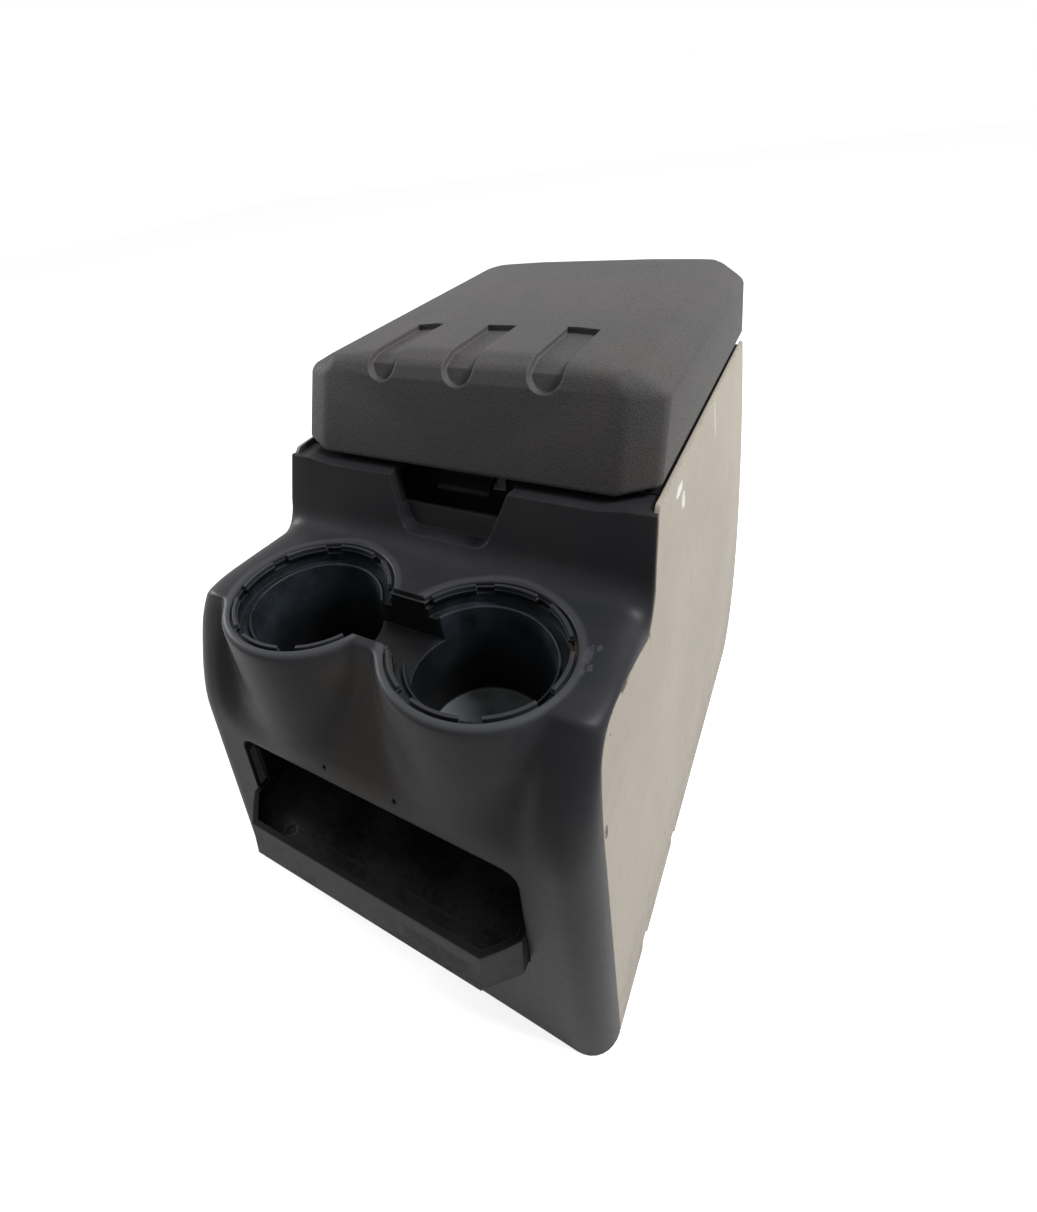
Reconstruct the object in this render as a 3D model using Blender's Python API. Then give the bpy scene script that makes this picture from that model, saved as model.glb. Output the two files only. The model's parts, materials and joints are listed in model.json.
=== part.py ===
"""Car center console: a floor-standing body with two cup holders, an open front tray and a
storage bin under a hinged armrest lid. Metres, +Z up, front towards -Y.

Every piece is drawn about the cup line: X from the middle, Y from the line through both cup
centres, Z from the deck plane in which the cup openings lie. The console empty carries them.
"""

import math

import bmesh
import bpy
from mathutils import Matrix, Vector

# Overall sizes
DECK_HEIGHT = 0.260
TRAY_REACH = 0.090
LID_REACH = 0.400
FIT = 0.0003
PLAY = 0.0008

# Side walls, which lean out towards the floor
TOP_HALF_WIDTH = 0.1337
FLARE = 0.072
PANEL = 0.003
PANEL_TOP = 0.052
SEAM_GAP = 0.0008
NOTCH_YS = (0.015, 0.096)
NOTCH_WIDTH = 0.012
NOTCH_HEIGHT = 0.006
NOTCH_SLANT = 0.002

# Front fascia
SKIN = 0.003
FACE_TOP_Y = 0.028
FACE_SWELL = 0.032
SEAM_SWELL = 0.010
SWELL_HEIGHT = 0.088
FOOT_LEAN = 0.006
CORNER = 0.020
EDGE_ROUND = 0.004
FOOT_ARCH = 0.004
SHOULDER_DROP = 0.005
SHOULDER_FALL = 0.010
RISER_FOOT_Y = 0.065
RISER_FILLET = 0.014
RISER_TOP_Y = 0.079
RISER_HEIGHT = 0.046
RISER_LIFT = 0.005
RISER_LIFT_X = 0.100
RISER_FLANGE = 0.022
RISER_SEAM_EASE = 0.8
TRIM_REAR_Y = 0.150
HOLE_X = 0.0264
HOLE_DROP = 0.0856
HOLE_RADIUS = 0.0015

# Cups and the channel between them
CUP_X = 0.0605
LOBE_RADIUS = 0.059
OPENING_RADIUS = 0.0536
LOBE_BLEND = 0.008
CHANNEL_HALF = 0.022
RIM_INNER_RADIUS = 0.049
WELL_RADIUS = 0.0505
WELL_DEPTH = 0.014
LIP_RADIUS = 0.0445
LIP_HEIGHT = 0.0023
CUP_RADIUS = 0.043
CUP_FLOOR_RADIUS = 0.0398
CUP_DEPTH = 0.0794
CHANNEL_DEPTH = 0.030
CUP_WALL = 0.002
SLOT_COUNT = 8
SLOT_LENGTH = 0.011
SLOT_DEPTH = 0.0014
SLOT_SEAT = 0.0005
EAR_RADIUS = 0.007
EAR_DROP = 0.0130
EARS = ((0.0, 0.036), (0.100, 0.050), (-0.100, 0.050))

# Tray and its opening
OPENING_TOP = 0.097
OPENING_BOTTOM = 0.180
OPENING_TOP_HALF = 0.104
OPENING_BOTTOM_HALF = 0.108
OPENING_ROUND = 0.010
TRAY_LIP_DROP = 0.151
TRAY_FLOOR_DROP = 0.163
TRAY_FLOOR = 0.003
TRAY_WALL = 0.004
TRAY_LEAN = 0.0045
TRAY_FRONT_HALF = 0.089
TRAY_FACET_DEPTH = 0.019
TRAY_BACK_Y = 0.040
TRAY_SIDE_TOP = 0.114
TRAY_LIP_BACK_Y = -0.054
RECESS_X = -0.068
RECESS_Y = -0.072
RECESS_RADIUS = 0.004
RECESS_DEPTH = 0.001
LUG_X = 0.068
LUG_WIDTH = 0.016
LUG_YS = (-0.0615, -0.040)
LUG_SCREW_Y = -0.050
LUG_DROP = 0.012
LUG_SEAT = 0.005

# Finger recess in the riser
POCKET_TOP_HALF = 0.046
POCKET_FOOT_HALF = 0.034
POCKET_FOOT_Z = 0.009
POCKET_DEPTH = 0.0115
POCKET_WALL = 0.0025
POCKET_ROUND = 0.012
BAND_TOP_Z = 0.024

# Rear, measured forward from the rear of the lid. The curve's two middle points lie forward of
# the bulge, one below the deck and one above the floor.
REAR_TOP_Y = LID_REACH - 0.032
REAR_BULGE_Y = LID_REACH - 0.001
REAR_FOOT_Y = LID_REACH - 0.082
REAR_HIGH = (0.003, 0.060)
REAR_LOW = (-0.001, 0.030)
REAR_PANEL_SPAN = (0.03, 0.93)
REAR_SCREW_X = 0.080
REAR_SCREW_SHARE = 0.39

# Storage bin
RIM_TOP = 0.0495
RIM = 0.003
RIM_REAR_Y = LID_REACH - 0.034
BIN_FRONT_Y = 0.128
BIN_REAR_Y = LID_REACH - 0.048
BIN_HALF_WIDTH = TOP_HALF_WIDTH - 0.0237
BIN_FLOOR_DROP = 0.190
BIN_WALL = 0.003
BIN_ROUND = 0.012
BIN_SCREW_SETS = (0.020, 0.030)
MAT = 0.002
LEDGE_WIDTH = 0.014
LEDGE_HEIGHT = 0.008
LEDGE_SET = 0.004
LEDGE_END = 0.006
LATCH_NOTCH_HALF = 0.036
LATCH_NOTCH_CLEAR = 0.003

# Armrest lid
LID_FRONT_LOW = 0.050
LID_SIDE_LOW = 0.054
LID_CREASE = 0.105
LID_EDGE = 0.115
LID_CROWN = 0.1195
LID_HALF = 0.131
LID_TOP_HALF = 0.1085
LID_TOP_SET = 0.006
LID_FRONT_Y = 0.088
LID_LEAN = 0.345
LID_TAPER = 0.030
LID_CORNER_X = 0.109
LID_CORNER_Y = 0.010
LID_REAR_CORNER = 0.016
LID_REAR_SWEEP = 0.35
LID_SOFT_EDGE = 0.004
LID_TOP_CORNER = (0.004, 0.005, 0.010)
PAD_WALL = 0.008
FRAME_WALL = 0.0025
GROOVE_PITCH = 0.059
GROOVE_HALF = 0.0112
GROOVE_DEPTH = 0.004
GROOVE_REAR_Y = 0.180
GROOVE_LOW = 0.102
GROOVE_FRONT_Y = 0.070
POST_RADIUS = 0.005
POST_X = 0.095
POST_YS = (0.160, LID_REACH - 0.060)
LINER = 0.0027
LINER_REAR_Y = LID_REACH - 0.020
LINER_CORNER = 0.006
BUMPER_X = 0.095
BUMPER_Y = 0.118
BUMPER_RADIUS = 0.006
STUD_RADIUS = 0.0025

# Hinge
HINGE_Y = LID_REACH - 0.013
LEAF = 0.0015
LEAF_HALF = 0.060
LEAF_LENGTH = 0.036
KNUCKLE_RADIUS = 0.0045
KNUCKLE_HALF = 0.020
HINGE_PIN_RADIUS = 0.002
HINGE_PIN_END = 0.002
HINGE_PIN_HEAD = 0.0015
KNUCKLE_STRIP = 0.003
LEAF_SCREW_X = 0.042
LID_LEAF_SCREW_SET = 0.012

# Latch
LATCH_Y = 0.112
LATCH_Z = 0.063
LATCH_HALF = 0.020
BARREL_RADIUS = 0.004
LATCH_PIN_RADIUS = 0.0015
LATCH_PLATE = 0.003
LATCH_TIP_Z = 0.028
LATCH_NOSE_Z = 0.040
LATCH_NOSE = 0.001
LATCH_NOSE_RAMP = 0.006
LATCH_TIP_REACH = 0.011
LATCH_TIP_SLOPE = 0.008
LATCH_LUG = 0.004
LATCH_LUG_HALF = 0.005
LATCH_SWING = 0.0085
WINDOW_SPAN = (0.003, 0.009)
WINDOW_DEPTH = 0.0045
STRIKER_LIP_Y = 0.1185
STRIKER_PLATE = 0.002
STRIKER_HALF = 0.020
STRIKER_FOOT = 0.008
STRIKER_TOP = 0.002
STRIKER_SCREW_X = 0.012
STRIKER_SCREW_Z = 0.026
SPRING_WIRE = 0.0005
SPRING_TURNS = 4
SPRING_PITCH = 0.001
SPRING_LEG = 0.0035

# Floor brackets
BRACKET_YS = (-0.020, LID_REACH - 0.130)
BRACKET_WIDTH = 0.026
BRACKET_PLATE = 0.002
BRACKET_TAB_END = 0.014
BRACKET_HOLE_X = 0.085
BRACKET_HOLE_RADIUS = 0.0045
BOSS = 0.008
BOSS_RADIUS = 0.006
TAB_SCREW_RISE = 0.024
TAB_SCREW_Z = TAB_SCREW_RISE - DECK_HEIGHT
FASCIA_SCREW_DROP = 0.140
FASCIA_SCREW_Y = -0.014
TAB_HALF = 0.008
TAB_SET = 0.004

# Screws
SHANK_RADIUS = 0.0018
HEAD_RADIUS = 0.0038
HEAD_HEIGHT = 0.0022
THREAD_PLAY = 0.0003
SCREW_HOLE = SHANK_RADIUS + THREAD_PLAY
SCREW_LENGTH = 0.009
TRAY_SCREW_LENGTH = 0.0072
FASCIA_SCREW_LENGTH = 0.010
REAR_SCREW_LENGTH = 0.012

FLOOR = -DECK_HEIGHT
CUP_LINE_Y = (TRAY_REACH - LID_REACH) / 2
CUT = 0.05
SHORT_CUT = 0.01
AXES = {
    "X": lambda a, b, c: (c, a, b),
    "Y": lambda a, b, c: (a, c, b),
    "Z": lambda a, b, c: (a, b, c),
}


def look(name, colour, roughness, metallic=0.0):
    """A material with one colour, roughness and metallic value."""
    material = bpy.data.materials.new(name)
    material.use_nodes = True
    shader = material.node_tree.nodes["Principled BSDF"]
    shader.inputs["Base Color"].default_value = (*colour, 1.0)
    shader.inputs["Roughness"].default_value = roughness
    shader.inputs["Metallic"].default_value = metallic
    return material


def origin_of(parent):
    """Where a parent's origin lies, measured from the console empty."""
    place = Vector()
    while parent is not None and parent.parent is not None:
        place += parent.location
        parent = parent.parent
    return place


def add_axis(name, place, parent):
    """An empty on a joint's axis, which carries what turns about it."""
    axis = bpy.data.objects.new(name, None)
    bpy.context.scene.collection.objects.link(axis)
    axis.parent = parent
    axis.location = Vector(place) - origin_of(parent)
    return axis


def add_object(name, points, faces, parent=None, flat=True):
    """A mesh object whose origin lies at its parent's, so a moving piece turns about its axis."""
    origin = origin_of(parent)
    mesh = bpy.data.meshes.new(name)
    mesh.from_pydata([Vector(point) - origin for point in points], [], faces)
    form = bmesh.new()
    form.from_mesh(mesh)
    if flat:
        bmesh.ops.connect_verts_nonplanar(form, angle_limit=math.radians(0.05), faces=form.faces)
    bmesh.ops.recalc_face_normals(form, faces=form.faces)
    form.to_mesh(mesh)
    form.free()
    mesh.shade_smooth()
    mesh.set_sharp_from_angle(angle=math.radians(30))
    obj = bpy.data.objects.new(name, mesh)
    bpy.context.scene.collection.objects.link(obj)
    obj.parent = parent
    return obj


def loft(name, rings, parent=None, flat=True):
    """A closed solid through rings that have the same number of points."""
    count = len(rings[0])
    points = [point for ring in rings for point in ring]
    faces = [list(range(count)), list(range(len(points) - count, len(points)))]
    for row in range(len(rings) - 1):
        for i in range(count):
            j = (i + 1) % count
            a = row * count
            faces.append([a + i, a + j, a + count + j, a + count + i])
    return add_object(name, points, faces, parent, flat)


def prism(name, outline, axis, low, high, parent=None):
    """An outline carried along an axis."""
    rings = [[AXES[axis](a, b, c) for a, b in outline] for c in (low, high)]
    return loft(name, rings, parent)


def box(name, low, high, parent=None):
    outline = [(low[0], low[1]), (high[0], low[1]), (high[0], high[1]), (low[0], high[1])]
    return prism(name, outline, "Z", low[2], high[2], parent)


def circle(radius, sides, centre=(0.0, 0.0)):
    """Points around a circle; the first lies just off the axis, clear of any edge along it."""
    turns = [2 * math.pi * (i + 0.13) / sides for i in range(sides)]
    return [(centre[0] + radius * math.cos(t), centre[1] + radius * math.sin(t)) for t in turns]


def rod(name, radius, axis, low, high, centre, sides=16, parent=None):
    return prism(name, circle(radius, sides, centre), axis, low, high, parent)


def turned(name, profile, sides, centre, parent=None):
    """A solid turned about Z from a profile of (radius, height), with a flat face at both ends."""
    rings = [[(x, y, z) for x, y in circle(radius, sides, centre)] for radius, z in profile]
    return loft(name, rings, parent)


def combine(obj, other, operation):
    """Boolean of two objects; the other one becomes a hidden helper."""
    modifier = obj.modifiers.new(other.name, "BOOLEAN")
    modifier.operation = operation
    modifier.object = other
    modifier.solver = "EXACT"
    other.hide_render = True
    other.display_type = "WIRE"


def cut(obj, *cutters):
    for cutter in cutters:
        combine(obj, cutter, "DIFFERENCE")


def fuse(obj, *others):
    for other in others:
        combine(obj, other, "UNION")


def rounded(corners, radius, steps=3):
    """An outline with each corner rounded by an arc that touches both its sides."""
    outline = []
    for i, corner in enumerate(corners):
        here = Vector(corner)
        before = (Vector(corners[i - 1]) - here).normalized()
        after = (Vector(corners[(i + 1) % len(corners)]) - here).normalized()
        half = before.angle(after) / 2
        middle = here + (before + after).normalized() * radius / math.sin(half)
        start = here + before * radius / math.tan(half) - middle
        turn = before.angle_signed(after)
        sweep = (math.pi - abs(turn)) * (1 if turn > 0 else -1)
        for step in range(steps + 1):
            spoke = start.copy()
            spoke.rotate(Matrix.Rotation(sweep * step / steps, 2))
            outline.append(tuple(middle + spoke))
    return outline


def bezier(points, t):
    """A point on the curve drawn by any number of control points."""
    points = [Vector(point) for point in points]
    while len(points) > 1:
        points = [a.lerp(b, t) for a, b in zip(points, points[1:])]
    return tuple(points[0])


def side_x(z):
    """Half width of the body at a height."""
    return TOP_HALF_WIDTH + FLARE * (PANEL_TOP - z)


def inner_x(z):
    return side_x(z) - PANEL


# Front fascia: rows of points that run from the middle to the seam with the side panel
def swell_y(z, swell):
    """Front of the body at a height: it swells below the deck and leans out to the floor."""
    drop = max(0.0, -z)
    curve = swell * math.sin(math.pi / 2 * min(1.0, drop / SWELL_HEIGHT))
    lean = max(0.0, drop - SWELL_HEIGHT) / (DECK_HEIGHT - SWELL_HEIGHT)
    return -(FACE_TOP_Y + curve + FOOT_LEAN * lean)


def face_y(x, z):
    """Front face with the round lobe that stands out under each cup."""
    base = -swell_y(z, FACE_SWELL)
    lobe = math.sqrt(max(0.0, LOBE_RADIUS**2 - (x - CUP_X) ** 2))
    share = max(0.0, 1 - abs(base - lobe) / LOBE_BLEND)
    return -(max(base, lobe) + share**2 * LOBE_BLEND / 4)


def shoulder_z(y):
    """Height of the seam along the deck."""
    length = RISER_FOOT_Y - RISER_FILLET + FACE_TOP_Y
    return -(SHOULDER_DROP + SHOULDER_FALL * max(0.0, (y + FACE_TOP_Y) / length) ** 2)


def half_columns(width, count):
    """Places across half the face, close together where the lobes meet it."""
    return [width * (1 - math.cos(math.pi * i / count)) / 2 for i in range(count + 1)]


def offset_curve(curve, distance):
    """A plan curve moved to its rear side."""
    moved = []
    for i, point in enumerate(curve):
        before = Vector(curve[max(0, i - 1)])
        after = Vector(curve[min(len(curve) - 1, i + 1)])
        along = (after - before).normalized()
        moved.append((point[0] - along.y * distance, point[1] + along.x * distance))
    moved[0] = (0.0, moved[0][1])
    return moved


def corner_points(flat, seam, steps):
    """Quarter of an ellipse from the last flat point to the seam."""
    points = []
    for step in range(1, steps + 1):
        turn = math.pi / 2 * step / steps
        across = flat[0] + (seam[0] - flat[0]) * math.sin(turn)
        rest = [flat[k] + (seam[k] - flat[k]) * (1 - math.cos(turn)) for k in (1, 2)]
        points.append((across, *rest))
    return points


def seam_point(y, z):
    return (side_x(z), y, z)


def face_row(z, columns, arch=0.0):
    flat = [(x, face_y(x, z)) for x in half_columns(side_x(z) - CORNER, columns)]
    lifts = [arch * max(0.0, 1 - (x / flat[-1][0]) ** 2) for x, _ in flat]
    points = [(x, y, z + lift) for (x, y), lift in zip(flat, lifts)]
    return points, seam_point(swell_y(z, SEAM_SWELL), z)


def edge_row(turn, columns):
    """Part of the rounding between face and deck."""
    low = -EDGE_ROUND
    curve = [(x, face_y(x, low)) for x in half_columns(side_x(0) - CORNER, columns)]
    moved = offset_curve(curve, EDGE_ROUND * (1 - math.cos(turn)))
    share = turn / (math.pi / 2)
    y = -FACE_TOP_Y + share * EDGE_ROUND
    z = low * (1 - math.sin(turn))
    return [(x, depth, z) for x, depth in moved], seam_point(y, shoulder_z(y))


def deck_row(y, columns):
    """Straight across the deck, but no further forward than its rounded edge."""
    edge, _ = edge_row(math.pi / 2, columns)
    share = max(0.0, -y / FACE_TOP_Y)
    points = [(x, y if y >= 0 else depth * share, 0.0) for x, depth, _ in edge]
    return points, seam_point(y, shoulder_z(y))


def riser_y(z):
    """Front of the riser above its fillet."""
    return RISER_FOOT_Y + (RISER_TOP_Y - RISER_FOOT_Y) * z / RISER_HEIGHT


def end_lift(x, z):
    """The top of the riser rises towards its ends, as the lid's lower edge does."""
    share = max(0.0, (x - RISER_LIFT_X) / (TOP_HALF_WIDTH - RISER_LIFT_X))
    return RISER_LIFT * share * max(0.0, z / RISER_HEIGHT)


def riser_columns(y, z, columns):
    points = [(x, y, z + end_lift(x, z)) for x in half_columns(side_x(0) - CORNER, columns)]
    return points, seam_point(y + PLAY, z + end_lift(TOP_HALF_WIDTH, z))


def riser_row(t, columns):
    """Fillet from the deck for t under 1, then the riser up to t = 2."""
    foot = RISER_FOOT_Y - RISER_FILLET
    knee = RISER_FILLET
    if t >= 1:
        z = knee + (RISER_HEIGHT - knee) * (t - 1)
        return riser_columns(riser_y(z), z, columns)
    y, z = bezier([(foot, 0.0), (RISER_FOOT_Y, 0.0), (riser_y(knee), knee)], t)
    low = shoulder_z(foot)
    middle = (RISER_FOOT_Y, low * RISER_SEAM_EASE)
    seam = bezier([(foot, low), middle, (riser_y(knee) + PLAY, knee)], t)
    points, _ = riser_columns(y, z, columns)
    return points, seam_point(*seam)


def flange_row(columns):
    return riser_columns(RISER_TOP_Y + RISER_FLANGE, RISER_HEIGHT, columns)


FACE_SHARES = (0.8, 0.6, 0.45, 0.35, 0.28, 0.225, 0.17, 0.12, 0.08, 0.045)
DECK_YS = (-0.015, 0.005, 0.03)


def fascia_rows(columns=12):
    rows = [face_row(FLOOR + PLAY / 2, columns, FOOT_ARCH)]
    rows += [face_row(FLOOR * share, columns) for share in FACE_SHARES]
    rows += [edge_row(math.radians(turn), columns) for turn in (0, 35, 65, 90)]
    rows += [deck_row(y, columns) for y in DECK_YS]
    rows += [riser_row(t, columns) for t in (0.0, 0.3, 0.6, 0.95, 1.5, 2.0)]
    rows.append(flange_row(columns))
    return rows


def seam_path():
    """The seam from the floor to the top of the riser, as (y, z)."""
    return [seam[1:] for _, seam in fascia_rows()[:-1]]


def add_fascia_skin(parent, steps=4):
    rows = []
    for flat, seam in fascia_rows():
        half = flat + corner_points(flat[-1], seam, steps)
        rows.append([(-x, y, z) for x, y, z in reversed(half[1:])] + half)
    width = len(rows[0])
    points = [point for row in rows for point in row]
    faces = []
    for r in range(len(rows) - 1):
        for i in range(width - 1):
            a = r * width + i
            faces.append([a, a + 1, a + width + 1, a + width])
    skin = add_object("front_fascia", points, faces, parent)
    if skin.data.polygons[0].normal.y > 0:
        skin.data.flip_normals()
    wall = skin.modifiers.new("wall", "SOLIDIFY")
    wall.thickness = SKIN
    wall.offset = -1
    skin.modifiers.new("flat faces", "TRIANGULATE")
    return skin


def sheared_prism(name, outline, front, back, parent):
    """An (x, z) outline carried back along Y from the slope of the riser."""
    rings = [[(x, riser_y(z) + depth, z) for x, z in outline] for depth in (front, back)]
    return loft(name, rings, parent)


def pocket_outline(top, grow):
    """The finger recess seen from the front, wider by grow all round."""
    slope = (POCKET_TOP_HALF - POCKET_FOOT_HALF) / (RISER_HEIGHT - POCKET_FOOT_Z)
    foot = POCKET_FOOT_Z - grow
    low = POCKET_FOOT_HALF + grow - slope * grow
    high = low + slope * (top - foot)
    turn = POCKET_ROUND
    right = [(low - turn, foot), (low - turn / 3, foot + turn / 6), (low, foot + turn * 2 / 3)]
    return [(-x, z) for x, z in reversed(right)] + right + [(high, top), (-high, top)]


def add_pocket(fascia, parent):
    shell = pocket_outline(RISER_HEIGHT - SKIN / 2, POCKET_WALL)
    tub = sheared_prism("pocket_tub", shell, SKIN / 2, POCKET_DEPTH + POCKET_WALL, parent)
    fuse(fascia, tub)
    top = RISER_HEIGHT + CUT
    hollow = pocket_outline(top, 0.0)
    cut(fascia, sheared_prism("pocket_hollow", hollow, -CUT, POCKET_DEPTH, parent))
    slope = (POCKET_TOP_HALF - POCKET_FOOT_HALF) / (RISER_HEIGHT - POCKET_FOOT_Z)
    low = POCKET_FOOT_HALF + slope * (BAND_TOP_Z - POCKET_FOOT_Z) - PLAY
    high = low + slope * (top - BAND_TOP_Z)
    window = [(-low, BAND_TOP_Z), (low, BAND_TOP_Z), (high, top), (-high, top)]
    cut(fascia, sheared_prism("pocket_window", window, POCKET_DEPTH / 2, CUT, parent))


def opening_half(z):
    """Half width of the tray opening at a height."""
    share = (-z - OPENING_TOP) / (OPENING_BOTTOM - OPENING_TOP)
    return OPENING_TOP_HALF + (OPENING_BOTTOM_HALF - OPENING_TOP_HALF) * share


def add_tray_opening(fascia, parent):
    low, high = -OPENING_BOTTOM, -OPENING_TOP
    foot, head = OPENING_BOTTOM_HALF, OPENING_TOP_HALF
    corners = [(-foot, low), (foot, low), (head, high), (-head, high)]
    top_corners = rounded(corners, OPENING_ROUND)[8:]
    front, rear = -TRAY_REACH - SHORT_CUT, -FACE_TOP_Y
    cut(fascia, prism("tray_opening", corners[:2] + top_corners, "Y", front, rear, parent))
    for side, x in (("left", -HOLE_X), ("right", HOLE_X)):
        place = (x, -HOLE_DROP)
        cut(fascia, rod(f"small_hole_{side}", HOLE_RADIUS, "Y", front, rear, place, 10, parent))


def add_cup_opening(fascia, parent):
    low = -2 * SKIN - SHORT_CUT
    for side, x in (("left", -CUP_X), ("right", CUP_X)):
        cut(fascia, rod(f"cup_opening_{side}", OPENING_RADIUS, "Z", low, CUT, (x, 0), 48, parent))
    corner = (-CUP_X / 2, -CHANNEL_HALF, low)
    cut(fascia, box("channel_opening", corner, (CUP_X / 2, CHANNEL_HALF, CUT), parent))


def add_deck_bosses(fascia, parent):
    """Bosses under the deck that the cup insert is screwed to."""
    low = -EAR_DROP + FIT
    for number, place in enumerate(EARS, 1):
        fuse(fascia, rod(f"deck_boss_{number}", POST_RADIUS, "Z", low, -SKIN / 2, place, 12, parent))
        hole = (low - CUT, -SKIN - PLAY)
        cut(fascia, rod(f"deck_boss_hole_{number}", SCREW_HOLE, "Z", *hole, place, 12, parent))


def add_tray_lugs(fascia, parent):
    """Posts behind the lower edge of the opening, which carry the tray floor."""
    top = lug_top()
    low = -OPENING_BOTTOM - LUG_DROP
    for side, sign in (("left", -1), ("right", 1)):
        x = sign * LUG_X
        near = (x - LUG_WIDTH / 2, LUG_YS[0], low)
        fuse(fascia, box(f"tray_lug_{side}", near, (x + LUG_WIDTH / 2, LUG_YS[1], top), parent))
        place = (x, LUG_SCREW_Y)
        bore = (low - CUT, top - LUG_SEAT)
        cut(fascia, rod(f"lug_bore_{side}", HEAD_RADIUS + PLAY, "Z", *bore, place, 16, parent))
        hole = (low, top + SHORT_CUT)
        cut(fascia, rod(f"lug_hole_{side}", SCREW_HOLE, "Z", *hole, place, 12, parent))


def lug_top():
    return -TRAY_FLOOR_DROP - TRAY_FLOOR - FIT


def add_fascia_tabs(fascia, parent):
    """Tabs that reach behind the side panels."""
    z = -FASCIA_SCREW_DROP
    low, high = z - TAB_HALF, z + TAB_HALF
    outer = inner_x(z) - BOSS - FIT
    start = swell_y(z, SEAM_SWELL) - TAB_SET
    end = FASCIA_SCREW_Y + TAB_HALF
    for side, sign in (("left", -1), ("right", 1)):
        near, far = sorted((sign * (outer - SKIN), sign * outer))
        plate = box(f"fascia_tab_{side}", (near, start, low), (far, end, high), parent)
        root = sorted((sign * (outer - SKIN), sign * (side_x(z) - SKIN / 2)))
        web = box(f"fascia_tab_web_{side}", (root[0], start, low), (root[1], start + SKIN, high), parent)
        fuse(fascia, plate, web)
        span = (near - SHORT_CUT, far + SHORT_CUT)
        cut(fascia, rod(f"fascia_tab_hole_{side}", SCREW_HOLE, "X", *span, (FASCIA_SCREW_Y, z), 12, parent))


def trim_beside_panels(fascia, parent):
    """Cut the skin back to an even gap all along the edge of each side panel."""
    front = panel_front(SEAM_GAP / 2)
    low, high = front[0][1] - CUT, front[-1][1] + CUT
    rear = [(TRIM_REAR_Y, high), (TRIM_REAR_Y, low)]
    outline = [(front[0][0], low)] + front + [(front[-1][0], high)] + rear
    for side, sign in (("left", -1), ("right", 1)):
        rings = [[(sign * (side_x(z) + depth), y, z) for y, z in outline] for depth in (CUT, -PANEL - FIT)]
        cut(fascia, loft(f"panel_room_{side}", rings, parent))


def add_fascia(parent):
    fascia = add_fascia_skin(parent)
    trim_beside_panels(fascia, parent)
    add_pocket(fascia, parent)
    add_deck_bosses(fascia, parent)
    add_tray_opening(fascia, parent)
    add_tray_lugs(fascia, parent)
    add_fascia_tabs(fascia, parent)
    add_cup_opening(fascia, parent)
    return fascia


# Cup holder insert
def insert_body(x, parent):
    """Outside of one cup with its rim."""
    rim = LOBE_RADIUS - SKIN - PLAY
    profile = [
        (CUP_FLOOR_RADIUS + CUP_WALL, -CUP_DEPTH - CUP_WALL),
        (CUP_RADIUS + CUP_WALL, -WELL_DEPTH - CUP_WALL),
        (WELL_RADIUS + CUP_WALL, -WELL_DEPTH - CUP_WALL),
        (WELL_RADIUS + CUP_WALL, -2 * SKIN - FIT),
        (rim, -2 * SKIN - FIT),
        (rim, -SKIN - FIT),
    ]
    return turned("cup_body", profile, 32, (x, 0), parent)


def insert_hollow(x, parent):
    """Inside of one cup, with the groove that held the trim ring."""
    profile = [
        (CUP_FLOOR_RADIUS, -CUP_DEPTH),
        (CUP_RADIUS, -WELL_DEPTH + LIP_HEIGHT),
        (LIP_RADIUS, -WELL_DEPTH + LIP_HEIGHT),
        (LIP_RADIUS, -WELL_DEPTH),
        (WELL_RADIUS, -WELL_DEPTH),
        (WELL_RADIUS, -2 * SKIN + SLOT_SEAT),
        (RIM_INNER_RADIUS, -2 * SKIN + SLOT_SEAT),
        (RIM_INNER_RADIUS, CUT),
    ]
    return turned("cup_hollow", profile, 32, (x, 0), parent)


def rim_slots(x, parent):
    """Narrow slots around the rim, as one cutter of separate blocks."""
    points = []
    faces = []
    for i in range(SLOT_COUNT):
        turn = 2 * math.pi * (i + 0.5) / SLOT_COUNT
        spin = Matrix.Rotation(turn, 3, "Z")
        first = len(points)
        inner = RIM_INNER_RADIUS - SLOT_DEPTH
        outer = WELL_RADIUS + SLOT_DEPTH
        for z in (-2 * SKIN - SLOT_DEPTH, 0.0):
            for radius, side in ((inner, -1), (outer, -1), (outer, 1), (inner, 1)):
                corner = Vector((radius, side * SLOT_LENGTH / 2, z))
                points.append(spin @ corner + Vector((x, 0, 0)))
        faces += [[first + k for k in quad] for quad in
                  ((3, 2, 1, 0), (4, 5, 6, 7), (0, 1, 5, 4), (1, 2, 6, 5), (2, 3, 7, 6), (3, 0, 4, 7))]
    return add_object("rim_slots", points, faces, parent)


def add_cup_insert(parent):
    insert = insert_body(-CUP_X, parent)
    insert.name = "cup_holder_insert"
    fuse(insert, insert_body(CUP_X, parent))
    wide = CHANNEL_HALF - CUP_WALL
    low = (-CUP_X / 2, -wide - CUP_WALL, -CHANNEL_DEPTH - CUP_WALL)
    fuse(insert, box("channel_body", low, (CUP_X / 2, wide + CUP_WALL, -SKIN - FIT), parent))
    for number, place in enumerate(EARS, 1):
        fuse(insert, ear(number, place, parent))
    cut(insert, insert_hollow(-CUP_X, parent), insert_hollow(CUP_X, parent))
    low = (-CUP_X / 2, -wide, -CHANNEL_DEPTH)
    cut(insert, box("channel_hollow", low, (CUP_X / 2, wide, CUT), parent))
    cut(insert, rim_slots(-CUP_X, parent), rim_slots(CUP_X, parent))
    for number, place in enumerate(EARS, 1):
        span = (-EAR_DROP - SHORT_CUT, -EAR_DROP + CUP_WALL)
        cut(insert, rod(f"ear_hole_{number}", SCREW_HOLE, "Z", *span, place, 12, parent))
    return insert


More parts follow.
